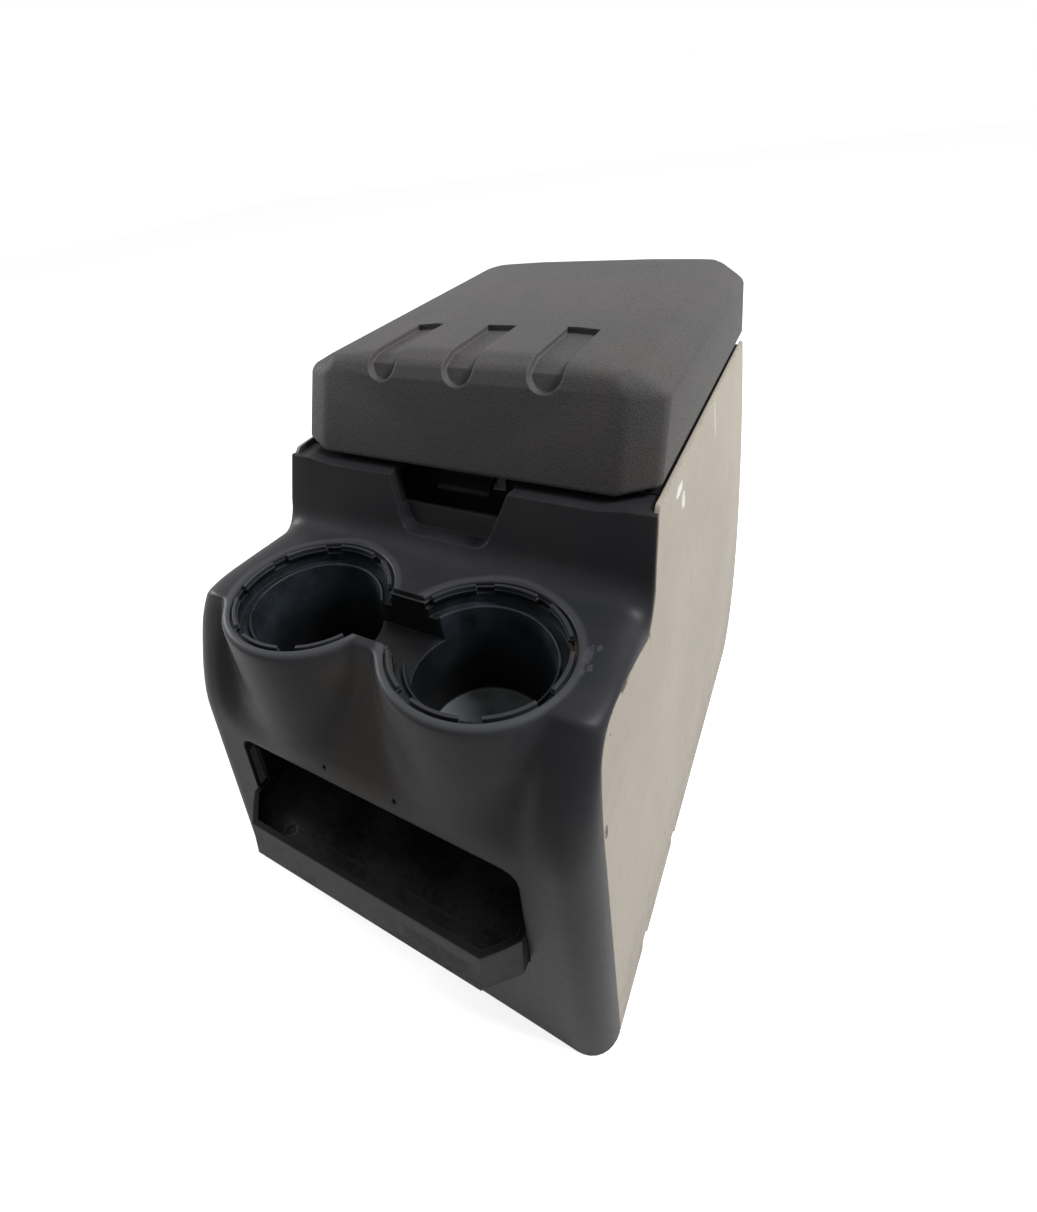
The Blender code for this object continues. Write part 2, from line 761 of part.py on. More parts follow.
def ear(number, place, parent):
    """A plate from the wall of the insert to its screw."""
    beside = place[0] != 0
    start = Vector((math.copysign(CUP_X, place[0]) if beside else 0.0, 0.0))
    along = (Vector(place) - start).normalized()
    across = Vector((-along.y, along.x)) * EAR_RADIUS
    wall = WELL_RADIUS if beside else CHANNEL_HALF - CUP_WALL
    inner = start + along * (wall + CUP_WALL / 2)
    outline = [inner - across, Vector(place) - across]
    angle = math.atan2(along.y, along.x)
    for step in range(1, 6):
        turn = angle - math.pi / 2 + math.pi * step / 6
        outline.append(Vector(place) + EAR_RADIUS * Vector((math.cos(turn), math.sin(turn))))
    outline += [Vector(place) + across, inner + across]
    span = (-EAR_DROP - CUP_WALL, -EAR_DROP)
    return prism(f"ear_{number}", [tuple(point) for point in outline], "Z", *span, parent)


# Front tray
def tray_outline(z, inset, back):
    """Plan of the tray at a height: a flat front between two slanting ends."""
    front = -TRAY_REACH + TRAY_LEAN * (z + OPENING_BOTTOM) / (OPENING_BOTTOM - TRAY_LIP_DROP)
    wide = opening_half(max(z, -OPENING_BOTTOM)) - PLAY
    facet = front + TRAY_FACET_DEPTH
    right = [
        (TRAY_FRONT_HALF - inset * 0.4, front + inset),
        (wide - inset, facet + inset * 0.4),
        (wide - inset, back),
    ]
    return [(x, y, z) for x, y in right] + [(-x, y, z) for x, y in reversed(right)]


def tray_form(name, low, high, inset, back, parent):
    rings = [tray_outline(z, inset, back) for z in (low, high)]
    return loft(name, rings, parent)


def add_tray(parent):
    low = -OPENING_BOTTOM + PLAY
    tray = tray_form("front_tray", low, -TRAY_SIDE_TOP, 0.0, TRAY_BACK_Y, parent)
    floor = -TRAY_FLOOR_DROP
    back = TRAY_BACK_Y - TRAY_WALL
    cut(tray, tray_form("tray_hollow", floor, CUT, TRAY_WALL, back, parent))
    under = floor - TRAY_FLOOR
    cut(tray, tray_form("tray_underside", low - SHORT_CUT, under, TRAY_WALL, back, parent))
    far = TRAY_REACH + CUT
    lip = (OPENING_BOTTOM_HALF + CUT, TRAY_LIP_BACK_Y, 0.0)
    cut(tray, box("tray_front_cut", (-lip[0], -far, -TRAY_LIP_DROP), lip, parent))
    place = (RECESS_X, RECESS_Y)
    cut(tray, rod("tray_recess", RECESS_RADIUS, "Z", floor - RECESS_DEPTH, 0.0, place, 16, parent))
    for side, sign in (("left", -1), ("right", 1)):
        place = (sign * LUG_X, LUG_SCREW_Y)
        span = (under - SHORT_CUT, floor - PLAY)
        cut(tray, rod(f"tray_hole_{side}", SCREW_HOLE, "Z", *span, place, 12, parent))
    return tray


# Side panels
def rear_curve(t):
    """Rear edge of the body from its top to the floor, as (y, z)."""
    top = (REAR_TOP_Y, PANEL_TOP)
    high = (REAR_BULGE_Y - REAR_HIGH[0], -REAR_HIGH[1])
    low = (REAR_BULGE_Y - REAR_LOW[0], FLOOR + REAR_LOW[1])
    return bezier([top, high, low, (REAR_FOOT_Y, FLOOR)], t)


def panel_front(gap):
    """Front edge of a side panel in (y, z): clear of the seam, and of the skin behind the riser."""
    path = seam_path()
    foot_z = shoulder_z(RISER_FOOT_Y - RISER_FILLET)
    front = []
    for i, (y, z) in enumerate(path):
        before = Vector(path[max(0, i - 1)])
        after = Vector(path[min(len(path) - 1, i + 1)])
        along = (after - before).normalized()
        share = min(1.0, max(0.0, 1 - z / foot_z)) if y > 0 else 0.0
        clear = gap + SKIN * share
        front.append((y + along.y * clear, z - along.x * clear))
    front[0] = (front[0][0], FLOOR)
    front[-1] = (front[-1][0], PANEL_TOP)
    return front


def panel_outline():
    """Side panel in (y, z)."""
    rear = [rear_curve(i / 14) for i in range(15)]
    foot = []
    for y in sorted(NOTCH_YS, reverse=True):
        half = NOTCH_WIDTH / 2
        foot += [(y + half, FLOOR), (y + half - NOTCH_SLANT, FLOOR + NOTCH_HEIGHT)]
        foot += [(y - half + NOTCH_SLANT, FLOOR + NOTCH_HEIGHT), (y - half, FLOOR)]
    return panel_front(SEAM_GAP) + rear + foot


def panel_bosses():
    """Place of each screw boss inside a side panel, as (y, z)."""
    middle = BRACKET_WIDTH / 2
    places = [(y + middle, TAB_SCREW_Z) for y in BRACKET_YS]
    return places + [(FASCIA_SCREW_Y, -FASCIA_SCREW_DROP)]


def add_side_panel(side, sign, parent):
    outline = panel_outline()
    rings = [[(sign * (side_x(z) - depth), y, z) for y, z in outline] for depth in (0.0, PANEL)]
    panel = loft(f"{side}_side_panel", rings, parent)
    for number, place in enumerate(panel_bosses(), 1):
        wall = inner_x(place[1])
        span = sorted((sign * (wall - BOSS), sign * (wall + PANEL / 2)))
        fuse(panel, rod(f"{side}_boss_{number}", BOSS_RADIUS, "X", *span, place, 12, parent))
        span = sorted((sign * (wall - BOSS - SHORT_CUT), sign * (wall - PLAY)))
        cut(panel, rod(f"{side}_boss_hole_{number}", SCREW_HOLE, "X", *span, place, 10, parent))
    add_ledge(panel, side, sign, parent)
    return panel


def ledge_top():
    return RIM_TOP - RIM - FIT


def add_ledge(panel, side, sign, parent):
    """Shelf inside the panel that carries the rim of the bin."""
    top = ledge_top()
    edge = inner_x(top)
    span = sorted((sign * (edge - LEDGE_WIDTH), sign * (edge + PANEL / 2)))
    low = (span[0], RISER_TOP_Y + RISER_FLANGE + LEDGE_SET, top - LEDGE_HEIGHT)
    fuse(panel, box(f"{side}_ledge", low, (span[1], RIM_REAR_Y - LEDGE_END, top), parent))
    for number, y in enumerate(bin_screw_ys(), 1):
        place = (sign * bin_screw_x(), y)
        span = (top - SCREW_LENGTH, top + CUT)
        cut(panel, rod(f"{side}_ledge_hole_{number}", SCREW_HOLE, "Z", *span, place, 10, parent))


def bin_screw_x():
    return inner_x(ledge_top()) - LEDGE_WIDTH / 2


def bin_screw_ys():
    return (BIN_FRONT_Y + BIN_SCREW_SETS[0], RIM_REAR_Y - BIN_SCREW_SETS[1])


# Rear panel
def add_rear_panel(parent, count=10):
    rings = []
    for i in range(count + 1):
        t = REAR_PANEL_SPAN[0] + (REAR_PANEL_SPAN[1] - REAR_PANEL_SPAN[0]) * i / count
        y, z = rear_curve(t)
        along = (Vector(rear_curve(t + 0.01)) - Vector((y, z))).normalized()
        wide = inner_x(z) - FIT
        back = (y - PLAY, z)
        front = (back[0] + along.y * PANEL, z - along.x * PANEL)
        rings.append([(-wide, *back), (wide, *back), (wide, *front), (-wide, *front)])
    panel = loft("rear_panel", rings, parent)
    for side, sign in (("left", -1), ("right", 1)):
        place = (sign * REAR_SCREW_X, rear_screw_z())
        span = (BIN_REAR_Y, REAR_BULGE_Y)
        cut(panel, rod(f"rear_hole_{side}", SCREW_HOLE, "Y", *span, place, 12, parent))
    return panel


def rear_screw_z():
    return rear_curve(REAR_SCREW_SHARE)[1]


def rear_face_y():
    return rear_curve(REAR_SCREW_SHARE)[0] - PLAY


# Storage bin
def bin_plan(gap):
    """Plan of the bin, smaller by a gap all round, with rounded corners."""
    wide = BIN_HALF_WIDTH - gap
    front, rear = BIN_FRONT_Y + gap, BIN_REAR_Y - gap
    return rounded([(-wide, front), (wide, front), (wide, rear), (-wide, rear)], BIN_ROUND)


def add_bin(parent):
    front = RISER_TOP_Y + RISER_FLANGE + PLAY
    wide = inner_x(RIM_TOP) - FIT
    low = (-BIN_HALF_WIDTH, BIN_FRONT_Y, -BIN_FLOOR_DROP)
    body = box("storage_bin", low, (BIN_HALF_WIDTH, BIN_REAR_Y, RIM_TOP), parent)
    outline = [(-wide, front), (wide, front), (wide, RIM_REAR_Y), (-wide, RIM_REAR_Y)]
    fuse(body, prism("bin_rim", outline, "Z", RIM_TOP - RIM, RIM_TOP, parent))
    end = rear_face_y() - PANEL - 2 * FIT
    for side, sign in (("left", -1), ("right", 1)):
        place = (sign * REAR_SCREW_X, rear_screw_z())
        root = BIN_REAR_Y - BIN_WALL / 2
        fuse(body, rod(f"bin_boss_{side}", BOSS_RADIUS, "Y", root, end, place, 12, parent))
        span = (end - REAR_SCREW_LENGTH, end + SHORT_CUT)
        cut(body, rod(f"bin_boss_hole_{side}", SCREW_HOLE, "Y", *span, place, 12, parent))
    floor = -BIN_FLOOR_DROP + BIN_WALL
    cut(body, prism("bin_hollow", bin_plan(BIN_WALL), "Z", floor, RIM_TOP + CUT, parent))
    corner = (-LATCH_NOTCH_HALF, front - CUT, RIM_TOP - RIM - SHORT_CUT)
    far = (LATCH_NOTCH_HALF, STRIKER_LIP_Y + LATCH_NOTCH_CLEAR, RIM_TOP + CUT)
    cut(body, box("latch_notch", corner, far, parent))
    add_bin_holes(body, parent)
    return body


def add_bin_holes(body, parent):
    through_rim = (RIM_TOP - RIM - SHORT_CUT, RIM_TOP + SHORT_CUT)
    through_wall = (BIN_FRONT_Y - SHORT_CUT, BIN_FRONT_Y + BIN_WALL + SHORT_CUT)
    for side, sign in (("left", -1), ("right", 1)):
        for number, y in enumerate(bin_screw_ys(), 1):
            place = (sign * bin_screw_x(), y)
            cut(body, rod(f"bin_rim_hole_{side}_{number}", SCREW_HOLE, "Z", *through_rim, place, 10, parent))
        place = (sign * STRIKER_SCREW_X, STRIKER_SCREW_Z)
        cut(body, rod(f"striker_wall_hole_{side}", SCREW_HOLE, "Y", *through_wall, place, 10, parent))
        place = (sign * LEAF_SCREW_X, leaf_screw_y())
        cut(body, rod(f"leaf_rim_hole_{side}", SCREW_HOLE, "Z", *through_rim, place, 10, parent))


def leaf_screw_y():
    return (HINGE_Y - KNUCKLE_RADIUS - LEAF_LENGTH + RIM_REAR_Y) / 2


def add_mat(parent):
    low = -BIN_FLOOR_DROP + BIN_WALL + FIT
    return prism("bin_mat", bin_plan(BIN_WALL + PLAY), "Z", low, low + MAT, parent)


# Armrest lid
def lid_ring(front_z, side_z, inset):
    """Half outline of the lid's walls; the front leans back and the sides lean in."""
    front = LID_FRONT_Y + LID_LEAN * (front_z - LID_FRONT_LOW) + inset
    beside = LID_FRONT_Y + LID_LEAN * (side_z - LID_FRONT_LOW) + inset
    rise = side_z - LID_SIDE_LOW
    wide = LID_HALF - LID_TAPER * rise - inset
    rear = LID_REACH - inset
    corner = LID_CORNER_X - LID_TAPER * rise - inset * 0.6
    return [
        (0, front, front_z),
        (corner, front, front_z),
        (wide, beside + LID_CORNER_Y + inset * 0.4, side_z),
        (wide, LID_REACH - LID_REAR_CORNER - LID_REAR_SWEEP * rise - inset * 0.6, side_z),
        (corner, rear - 0.001, side_z),
        (0, rear, side_z),
    ]


def lid_top_ring(z, inset):
    """Half outline of the top face inside the sloping strips along its sides."""
    front = LID_FRONT_Y + LID_LEAN * (LID_CREASE - LID_FRONT_LOW) + LID_TOP_SET + inset
    half = LID_TOP_HALF - inset * 0.6
    rear = LID_REACH - LID_TOP_SET - inset
    across, near, far = LID_TOP_CORNER
    right = [(half - across, front), (half, front + near), (half, rear - far), (half - across, rear)]
    return [(x, y, z) for x, y in [(0, front)] + right + [(0, rear)]]


def lid_form(name, inset, parent, drop=0.0):
    """The outer form of the lid, smaller by an inset, carried straight down by a drop."""
    lower = lid_ring(LID_FRONT_LOW, LID_SIDE_LOW, inset)
    crease = lid_ring(LID_CREASE - inset, LID_CREASE - inset, inset)
    edge = lid_top_ring(LID_EDGE - inset, inset)
    middle = (LID_FRONT_Y + LID_REACH) / 2
    low = LID_SIDE_LOW - drop
    base = [(x * 0.5, middle + (y - middle) * 0.5, low) for x, y, _ in lower]
    ridge = [(x * 0.5, middle + (y - middle) * 0.9, LID_CROWN - inset) for x, y, _ in edge]
    skirt = [[(x, y, z - drop) for x, y, z in lower]] if drop else []
    rings = []
    for half in (base, *skirt, lower, crease, edge, ridge):
        rings.append(half + [(-x, y, z) for x, y, z in reversed(half[1:-1])])
    form = loft(name, rings, parent, flat=False)
    if inset > 0:
        split = form.modifiers.new("flat faces", "TRIANGULATE")
        split.quad_method = "FIXED"
    return form


def soften(obj, width):
    """Round the edges of a form."""
    bevel = obj.modifiers.new("soft edges", "BEVEL")
    bevel.width = width
    bevel.segments = 2
    bevel.limit_method = "ANGLE"
    bevel.angle_limit = math.radians(14)
    obj.modifiers.new("flat faces", "TRIANGULATE")


def add_pad(parent):
    pad = lid_form("armrest_pad", 0.0, parent)
    soften(pad, LID_SOFT_EDGE)
    core = lid_form("lid_core", GROOVE_DEPTH, parent, CUT)
    for number, x in enumerate((-GROOVE_PITCH, 0.0, GROOVE_PITCH), 1):
        groove = add_groove(number, x, parent)
        cut(groove, core)
        cut(pad, groove)
    cut(pad, lid_form("pad_hollow", PAD_WALL, parent, CUT))
    return pad


def add_groove(number, x, parent):
    """Block over one groove: square at its rear end, and round where it ends on the front."""
    turns = [math.pi * i / 8 for i in range(9)]
    outline = [(x - GROOVE_HALF * math.cos(t), GROOVE_LOW + GROOVE_HALF * (1 - math.sin(t))) for t in turns]
    top = LID_CROWN + SHORT_CUT
    outline += [(x + GROOVE_HALF, top), (x - GROOVE_HALF, top)]
    return prism(f"groove_{number}", outline, "Y", GROOVE_FRONT_Y, GROOVE_REAR_Y, parent)


def add_frame(parent):
    """Hard shell under the pad, with posts for the screws of the lid liner."""
    outer = PAD_WALL + FIT
    low = liner_top() + FIT
    frame = lid_form("lid_frame", outer, parent, CUT)
    cut(frame, box("frame_trim", (-LID_HALF, 0.0, -CUT), (LID_HALF, LID_REACH, low), parent))
    inner = outer + FRAME_WALL
    cut(frame, lid_form("frame_hollow", inner, parent, CUT))
    top = LID_EDGE - outer - FRAME_WALL / 2
    for number, place in enumerate(post_places(), 1):
        fuse(frame, rod(f"frame_post_{number}", POST_RADIUS, "Z", low, top, place, 10, parent))
        span = (low - SHORT_CUT, low + SCREW_LENGTH + PLAY)
        cut(frame, rod(f"frame_post_hole_{number}", SCREW_HOLE, "Z", *span, place, 10, parent))
    return frame


def post_places():
    return [(sign * POST_X, y) for sign in (-1, 1) for y in POST_YS]


def liner_low():
    return LID_SIDE_LOW + FIT


def liner_top():
    return liner_low() + LINER


def add_liner(parent):
    """Plate that closes the lid from below and carries the latch."""
    ring = lid_ring(liner_top(), liner_top(), PAD_WALL + 2 * FIT)
    wide, sweep_y, _ = ring[3]
    corner = [(wide, min(sweep_y, LINER_REAR_Y) - PLAY), (wide - LINER_CORNER, LINER_REAR_Y)]
    right = [(x, y) for x, y, _ in ring[:3]] + corner + [(0, LINER_REAR_Y)]
    outline = right + [(-x, y) for x, y in reversed(right[1:-1])]
    liner = prism("lid_liner", outline, "Z", liner_low(), liner_top(), parent)
    add_latch_lugs(liner, parent)
    through = (liner_low() - SHORT_CUT, liner_top() + SHORT_CUT)
    for number, place in enumerate(post_places(), 1):
        cut(liner, rod(f"liner_hole_{number}", SCREW_HOLE, "Z", *through, place, 10, parent))
    for side, sign in (("left", -1), ("right", 1)):
        place = (sign * LEAF_SCREW_X, lid_leaf_screw_y())
        cut(liner, rod(f"liner_leaf_hole_{side}", SCREW_HOLE, "Z", *through, place, 10, parent))
        place = (sign * BUMPER_X, BUMPER_Y)
        cut(liner, rod(f"bumper_hole_{side}", STUD_RADIUS + FIT, "Z", *through, place, 10, parent))
    return liner


def add_latch_lugs(liner, parent):
    """Two ears that hold the latch pin, and the slot that the lever hangs through."""
    inner = LATCH_HALF + LATCH_LUG
    high = LATCH_Z + LATCH_LUG
    for side, sign in (("left", -1), ("right", 1)):
        span = sorted((sign * inner, sign * (inner + LATCH_LUG)))
        low = (span[0], LATCH_Y - LATCH_LUG_HALF, liner_top() - LINER / 2)
        fuse(liner, box(f"latch_lug_{side}", low, (span[1], LATCH_Y + LATCH_LUG_HALF, high), parent))
    half = inner + LATCH_LUG + SHORT_CUT
    place = (LATCH_Y, LATCH_Z)
    cut(liner, rod("latch_lug_bore", LATCH_PIN_RADIUS + THREAD_PLAY, "X", -half, half, place, 12, parent))
    half = LATCH_HALF + LATCH_LUG / 2
    near = (-half, LATCH_Y - LATCH_LUG_HALF - PLAY, liner_low() - SHORT_CUT)
    cut(liner, box("latch_slot", near, (half, LATCH_Y + LATCH_SWING, LATCH_Z), parent))


def add_bumper(side, sign, parent):
    """Rubber foot of the lid: a button with a stud through the liner."""
    place = (sign * BUMPER_X, BUMPER_Y)
    low, high = RIM_TOP + FIT, liner_low() - FIT
    button = rod(f"lid_bumper_{side}", BUMPER_RADIUS, "Z", low, high, place, 16, parent)
    fuse(button, rod(f"bumper_stud_{side}", STUD_RADIUS, "Z", low + PLAY, liner_top(), place, 10, parent))
    return button


# Hinge
def hinge_z():
    """Halfway between the two leaves, which lie one above the other."""
    return (RIM_TOP + liner_low()) / 2


def knuckle(name, low, high, plate_low, parent):
    """One barrel of the hinge with the strip that joins it to its leaf."""
    barrel = rod(name, KNUCKLE_RADIUS, "X", low, high, (HINGE_Y, hinge_z()), 20, parent)
    front, rear = HINGE_Y - KNUCKLE_RADIUS - KNUCKLE_STRIP, HINGE_Y - KNUCKLE_STRIP
    strip = box(f"{name}_strip", (low, front, plate_low), (high, rear, plate_low + LEAF), parent)
    return barrel, strip


def add_leaf(name, plate_low, spans, screw_y, parent):
    rear = HINGE_Y - KNUCKLE_RADIUS - PLAY
    corner = (-LEAF_HALF, HINGE_Y - KNUCKLE_RADIUS - LEAF_LENGTH, plate_low)
    leaf = box(name, corner, (LEAF_HALF, rear, plate_low + LEAF), parent)
    for number, (low, high) in enumerate(spans, 1):
        fuse(leaf, *knuckle(f"{name}_knuckle_{number}", low, high, plate_low, parent))
    half = LEAF_HALF + SHORT_CUT
    place = (HINGE_Y, hinge_z())
    cut(leaf, rod(f"{name}_bore", HINGE_PIN_RADIUS + FIT, "X", -half, half, place, 16, parent))
    for side, sign in (("left", -1), ("right", 1)):
        span = (plate_low - SHORT_CUT, plate_low + SHORT_CUT)
        place = (sign * LEAF_SCREW_X, screw_y)
        cut(leaf, rod(f"{name}_hole_{side}", SCREW_HOLE, "Z", *span, place, 10, parent))
    return leaf


def lid_leaf_screw_y():
    return leaf_screw_y() + LID_LEAF_SCREW_SET


def add_hinge_pin(parent):
    place = (HINGE_Y, hinge_z())
    half = LEAF_HALF + HINGE_PIN_END
    pin = rod("hinge_pin", HINGE_PIN_RADIUS, "X", -half, half, place, 16, parent)
    head = HINGE_PIN_RADIUS + HINGE_PIN_HEAD
    fuse(pin, rod("hinge_pin_head", head, "X", LEAF_HALF + FIT, half + PLAY, place, 16, parent))
    return pin


# Latch
def add_paddle(parent):
    """Pull lever under the front of the lid: barrel, blade, nose and finger tip."""
    front, back = LATCH_Y - LATCH_PLATE / 2, LATCH_Y + LATCH_PLATE / 2
    tip = LATCH_TIP_Z
    nose = STRIKER_LIP_Y - FIT
    outline = [
        (front, LATCH_Z),
        (front, tip + LATCH_TIP_SLOPE),
        (front - LATCH_TIP_REACH + LATCH_PLATE / 2, tip + LATCH_PLATE),
        (front - LATCH_TIP_REACH, tip),
        (front - LATCH_TIP_REACH + LATCH_PLATE, tip),
        (back, tip + LATCH_TIP_SLOPE - LATCH_PLATE / 2),
        (back, LATCH_NOSE_Z - LATCH_NOSE_RAMP),
        (nose, LATCH_NOSE_Z - LATCH_NOSE),
        (nose, LATCH_NOSE_Z + LATCH_NOSE),
        (back, LATCH_NOSE_Z + LATCH_NOSE),
        (back, LATCH_Z),
    ]
    paddle = prism("latch_paddle", outline, "X", -LATCH_HALF, LATCH_HALF, parent)
    place = (LATCH_Y, LATCH_Z)
    half = LATCH_HALF - WINDOW_SPAN[1] - PLAY
    fuse(paddle, rod("paddle_barrel", BARREL_RADIUS, "X", -half, half, place, 16, parent))
    half = LATCH_HALF + SHORT_CUT
    cut(paddle, rod("paddle_bore", LATCH_PIN_RADIUS + FIT, "X", -half, half, place, 12, parent))
    for side, sign in (("left", -1), ("right", 1)):
        span = sorted(sign * (LATCH_HALF - set_in) for set_in in WINDOW_SPAN)
        low = (span[0], LATCH_Y - BARREL_RADIUS, LATCH_Z - WINDOW_DEPTH)
        high = (span[1], LATCH_Y + BARREL_RADIUS, LATCH_Z + BARREL_RADIUS)
        cut(paddle, box(f"paddle_window_{side}", low, high, parent))
    return paddle


def add_latch_pin(parent):
    half = LATCH_HALF + 2 * LATCH_LUG + PLAY
    return rod("latch_pin", LATCH_PIN_RADIUS, "X", -half, half, (LATCH_Y, LATCH_Z), 12, parent)


def spring_path():
    """A coil around the latch pin in the lever's window, with a leg up at each end."""
    radius = LATCH_PIN_RADIUS + FIT + SPRING_WIRE
    start = LATCH_HALF - WINDOW_SPAN[1] + 2 * SPRING_WIRE
    leg = LATCH_Z + SPRING_LEG
    path = [(start, LATCH_Y + radius, leg)]
    for i in range(SPRING_TURNS * 8 + 1):
        turn = 2 * math.pi * i / 8
        x = start + SPRING_PITCH * i / 8
        path.append((x, LATCH_Y + radius * math.cos(turn), LATCH_Z - radius * math.sin(turn)))
    path.append((path[-1][0], LATCH_Y + radius, leg))
    return path


def add_spring(parent):
    centre = origin_of(parent)
    path = spring_path()
    curve = bpy.data.curves.new("latch_spring", "CURVE")
    curve.dimensions = "3D"
    curve.bevel_depth = SPRING_WIRE
    curve.bevel_resolution = 1
    curve.use_fill_caps = True
    line = curve.splines.new("POLY")
    line.points.add(len(path) - 1)
    for point, place in zip(line.points, path):
        point.co = (*(Vector(place) - centre), 1.0)
    spring = bpy.data.objects.new("latch_spring", curve)
    bpy.context.scene.collection.objects.link(spring)
    spring.parent = parent
    return spring


def add_striker(parent):
    """Steel catch on the front wall of the bin."""
    rear = BIN_FRONT_Y - FIT
    plate = rear - STRIKER_PLATE
    lip = LATCH_NOSE_Z + STRIKER_TOP
    foot = STRIKER_SCREW_Z - STRIKER_FOOT
    outline = [
        (rear, foot),
        (rear, lip),
        (STRIKER_LIP_Y, lip),
        (STRIKER_LIP_Y, lip - 2 * STRIKER_PLATE),
        (STRIKER_LIP_Y + STRIKER_PLATE, lip - 2 * STRIKER_PLATE),
        (STRIKER_LIP_Y + STRIKER_PLATE, lip - STRIKER_PLATE),
        (plate, lip - STRIKER_PLATE),
        (plate, foot),
    ]
    striker = prism("latch_striker", outline, "X", -STRIKER_HALF, STRIKER_HALF, parent)
    for side, sign in (("left", -1), ("right", 1)):
        place = (sign * STRIKER_SCREW_X, STRIKER_SCREW_Z)
        span = (plate - SHORT_CUT, rear + SHORT_CUT)
        cut(striker, rod(f"striker_hole_{side}", SCREW_HOLE, "Y", *span, place, 10, parent))
    return striker


# Floor brackets
def bracket_half():
    """Half length of a bracket: its tabs stop at the bosses of the side panels."""
    return inner_x(TAB_SCREW_Z) - BOSS - FIT


def add_bracket(name, y, parent):
    """Steel strip bent up at both ends."""
    outer = bracket_half()
    inner = outer - BRACKET_PLATE
    top, flat = TAB_SCREW_Z + BRACKET_TAB_END, FLOOR + BRACKET_PLATE
    right = [(outer, FLOOR), (outer, top), (inner, top), (inner, flat)]
    outline = right + [(-x, z) for x, z in reversed(right)]
    bracket = prism(name, outline, "Y", y, y + BRACKET_WIDTH, parent)
    middle = y + BRACKET_WIDTH / 2
    for side, sign in (("left", -1), ("right", 1)):
        span = (FLOOR - SHORT_CUT, flat + SHORT_CUT)
        place = (sign * BRACKET_HOLE_X, middle)
        cut(bracket, rod(f"{name}_floor_hole_{side}", BRACKET_HOLE_RADIUS, "Z", *span, place, 16, parent))
        span = sorted((sign * (inner - SHORT_CUT), sign * (outer + SHORT_CUT)))
        place = (middle, TAB_SCREW_Z)
        cut(bracket, rod(f"{name}_tab_hole_{side}", SCREW_HOLE, "X", *span, place, 10, parent))
    return bracket


# Screws
def add_screw(name, place, direction, length, parent):
    """A pan-head screw: its head lies at the place, and its shank runs along the direction."""
    profile = [
        (SHANK_RADIUS, length),
        (SHANK_RADIUS, 0),
        (HEAD_RADIUS, 0),
        (HEAD_RADIUS, -HEAD_HEIGHT * 0.5),
        (HEAD_RADIUS * 0.7, -HEAD_HEIGHT),
    ]
    screw = turned(name, profile, 8, (0.0, 0.0))
    screw.parent = parent
    screw.location = Vector(place) - Vector(direction) * FIT - origin_of(parent)
    screw.rotation_euler = Vector(direction).to_track_quat("Z", "Y").to_euler()
    return screw


def add_front_screws(parent):
    screws = []
    for number, (x, y) in enumerate(EARS, 1):
        place = (x, y, -EAR_DROP - CUP_WALL)
        screws.append(add_screw(f"cup_screw_{number}", place, (0, 0, 1), SCREW_LENGTH, parent))
    for side, sign in (("left", -1), ("right", 1)):
        place = (sign * LUG_X, LUG_SCREW_Y, lug_top() - LUG_SEAT)
        screws.append(add_screw(f"tray_screw_{side}", place, (0, 0, 1), TRAY_SCREW_LENGTH, parent))
        x = sign * (inner_x(-FASCIA_SCREW_DROP) - BOSS - FIT - SKIN)
        place = (x, FASCIA_SCREW_Y, -FASCIA_SCREW_DROP)
        screws.append(add_screw(f"fascia_screw_{side}", place, (sign, 0, 0), FASCIA_SCREW_LENGTH, parent))
    return screws


def add_bin_screws(parent):
    screws = []
    for side, sign in (("left", -1), ("right", 1)):
        for number, y in enumerate(bin_screw_ys(), 1):
            place = (sign * bin_screw_x(), y, RIM_TOP)
            screws.append(add_screw(f"bin_screw_{side}_{number}", place, (0, 0, -1), SCREW_LENGTH, parent))
        place = (sign * STRIKER_SCREW_X, BIN_FRONT_Y - FIT - STRIKER_PLATE, STRIKER_SCREW_Z)
        length = STRIKER_PLATE + BIN_WALL
        screws.append(add_screw(f"striker_screw_{side}", place, (0, 1, 0), length, parent))
        place = (sign * LEAF_SCREW_X, leaf_screw_y(), RIM_TOP - RIM)
        screws.append(add_screw(f"hinge_screw_body_{side}", place, (0, 0, 1), RIM + LEAF, parent))
        place = (sign * REAR_SCREW_X, rear_face_y(), rear_screw_z())
        screws.append(add_screw(f"rear_screw_{side}", place, (0, -1, 0), REAR_SCREW_LENGTH, parent))
    return screws


def add_bracket_screws(parent):
    screws = []
    x = bracket_half() - BRACKET_PLATE
    for side, sign in (("left", -1), ("right", 1)):
        for end, y in zip(("front", "rear"), BRACKET_YS):
            place = (sign * x, y + BRACKET_WIDTH / 2, TAB_SCREW_Z)
            name = f"bracket_screw_{end}_{side}"
            screws.append(add_screw(name, place, (sign, 0, 0), SCREW_LENGTH, parent))
    return screws


def add_lid_screws(parent):
    screws = []
    for number, (x, y) in enumerate(post_places(), 1):
        place = (x, y, liner_low())
        screws.append(add_screw(f"liner_screw_{number}", place, (0, 0, 1), LINER + SCREW_LENGTH, parent))
    for side, sign in (("left", -1), ("right", 1)):
        place = (sign * LEAF_SCREW_X, lid_leaf_screw_y(), liner_top())
        screws.append(add_screw(f"hinge_screw_lid_{side}", place, (0, 0, -1), LINER + LEAF, parent))
    return screws


def clear_scene():
    for obj in list(bpy.data.objects):
        bpy.data.objects.remove(obj, do_unlink=True)


def paint(material, objects):
    for obj in objects:
        obj.data.materials.append(material)


clear_scene()
console = bpy.data.objects.new("console", None)
bpy.context.scene.collection.objects.link(console)
console.location = (0, CUP_LINE_Y, DECK_HEIGHT)
lid_axis = add_axis("lid_axis", (0, HINGE_Y, hinge_z()), console)
latch_axis = add_axis("latch_axis", (0, LATCH_Y, LATCH_Z), lid_axis)

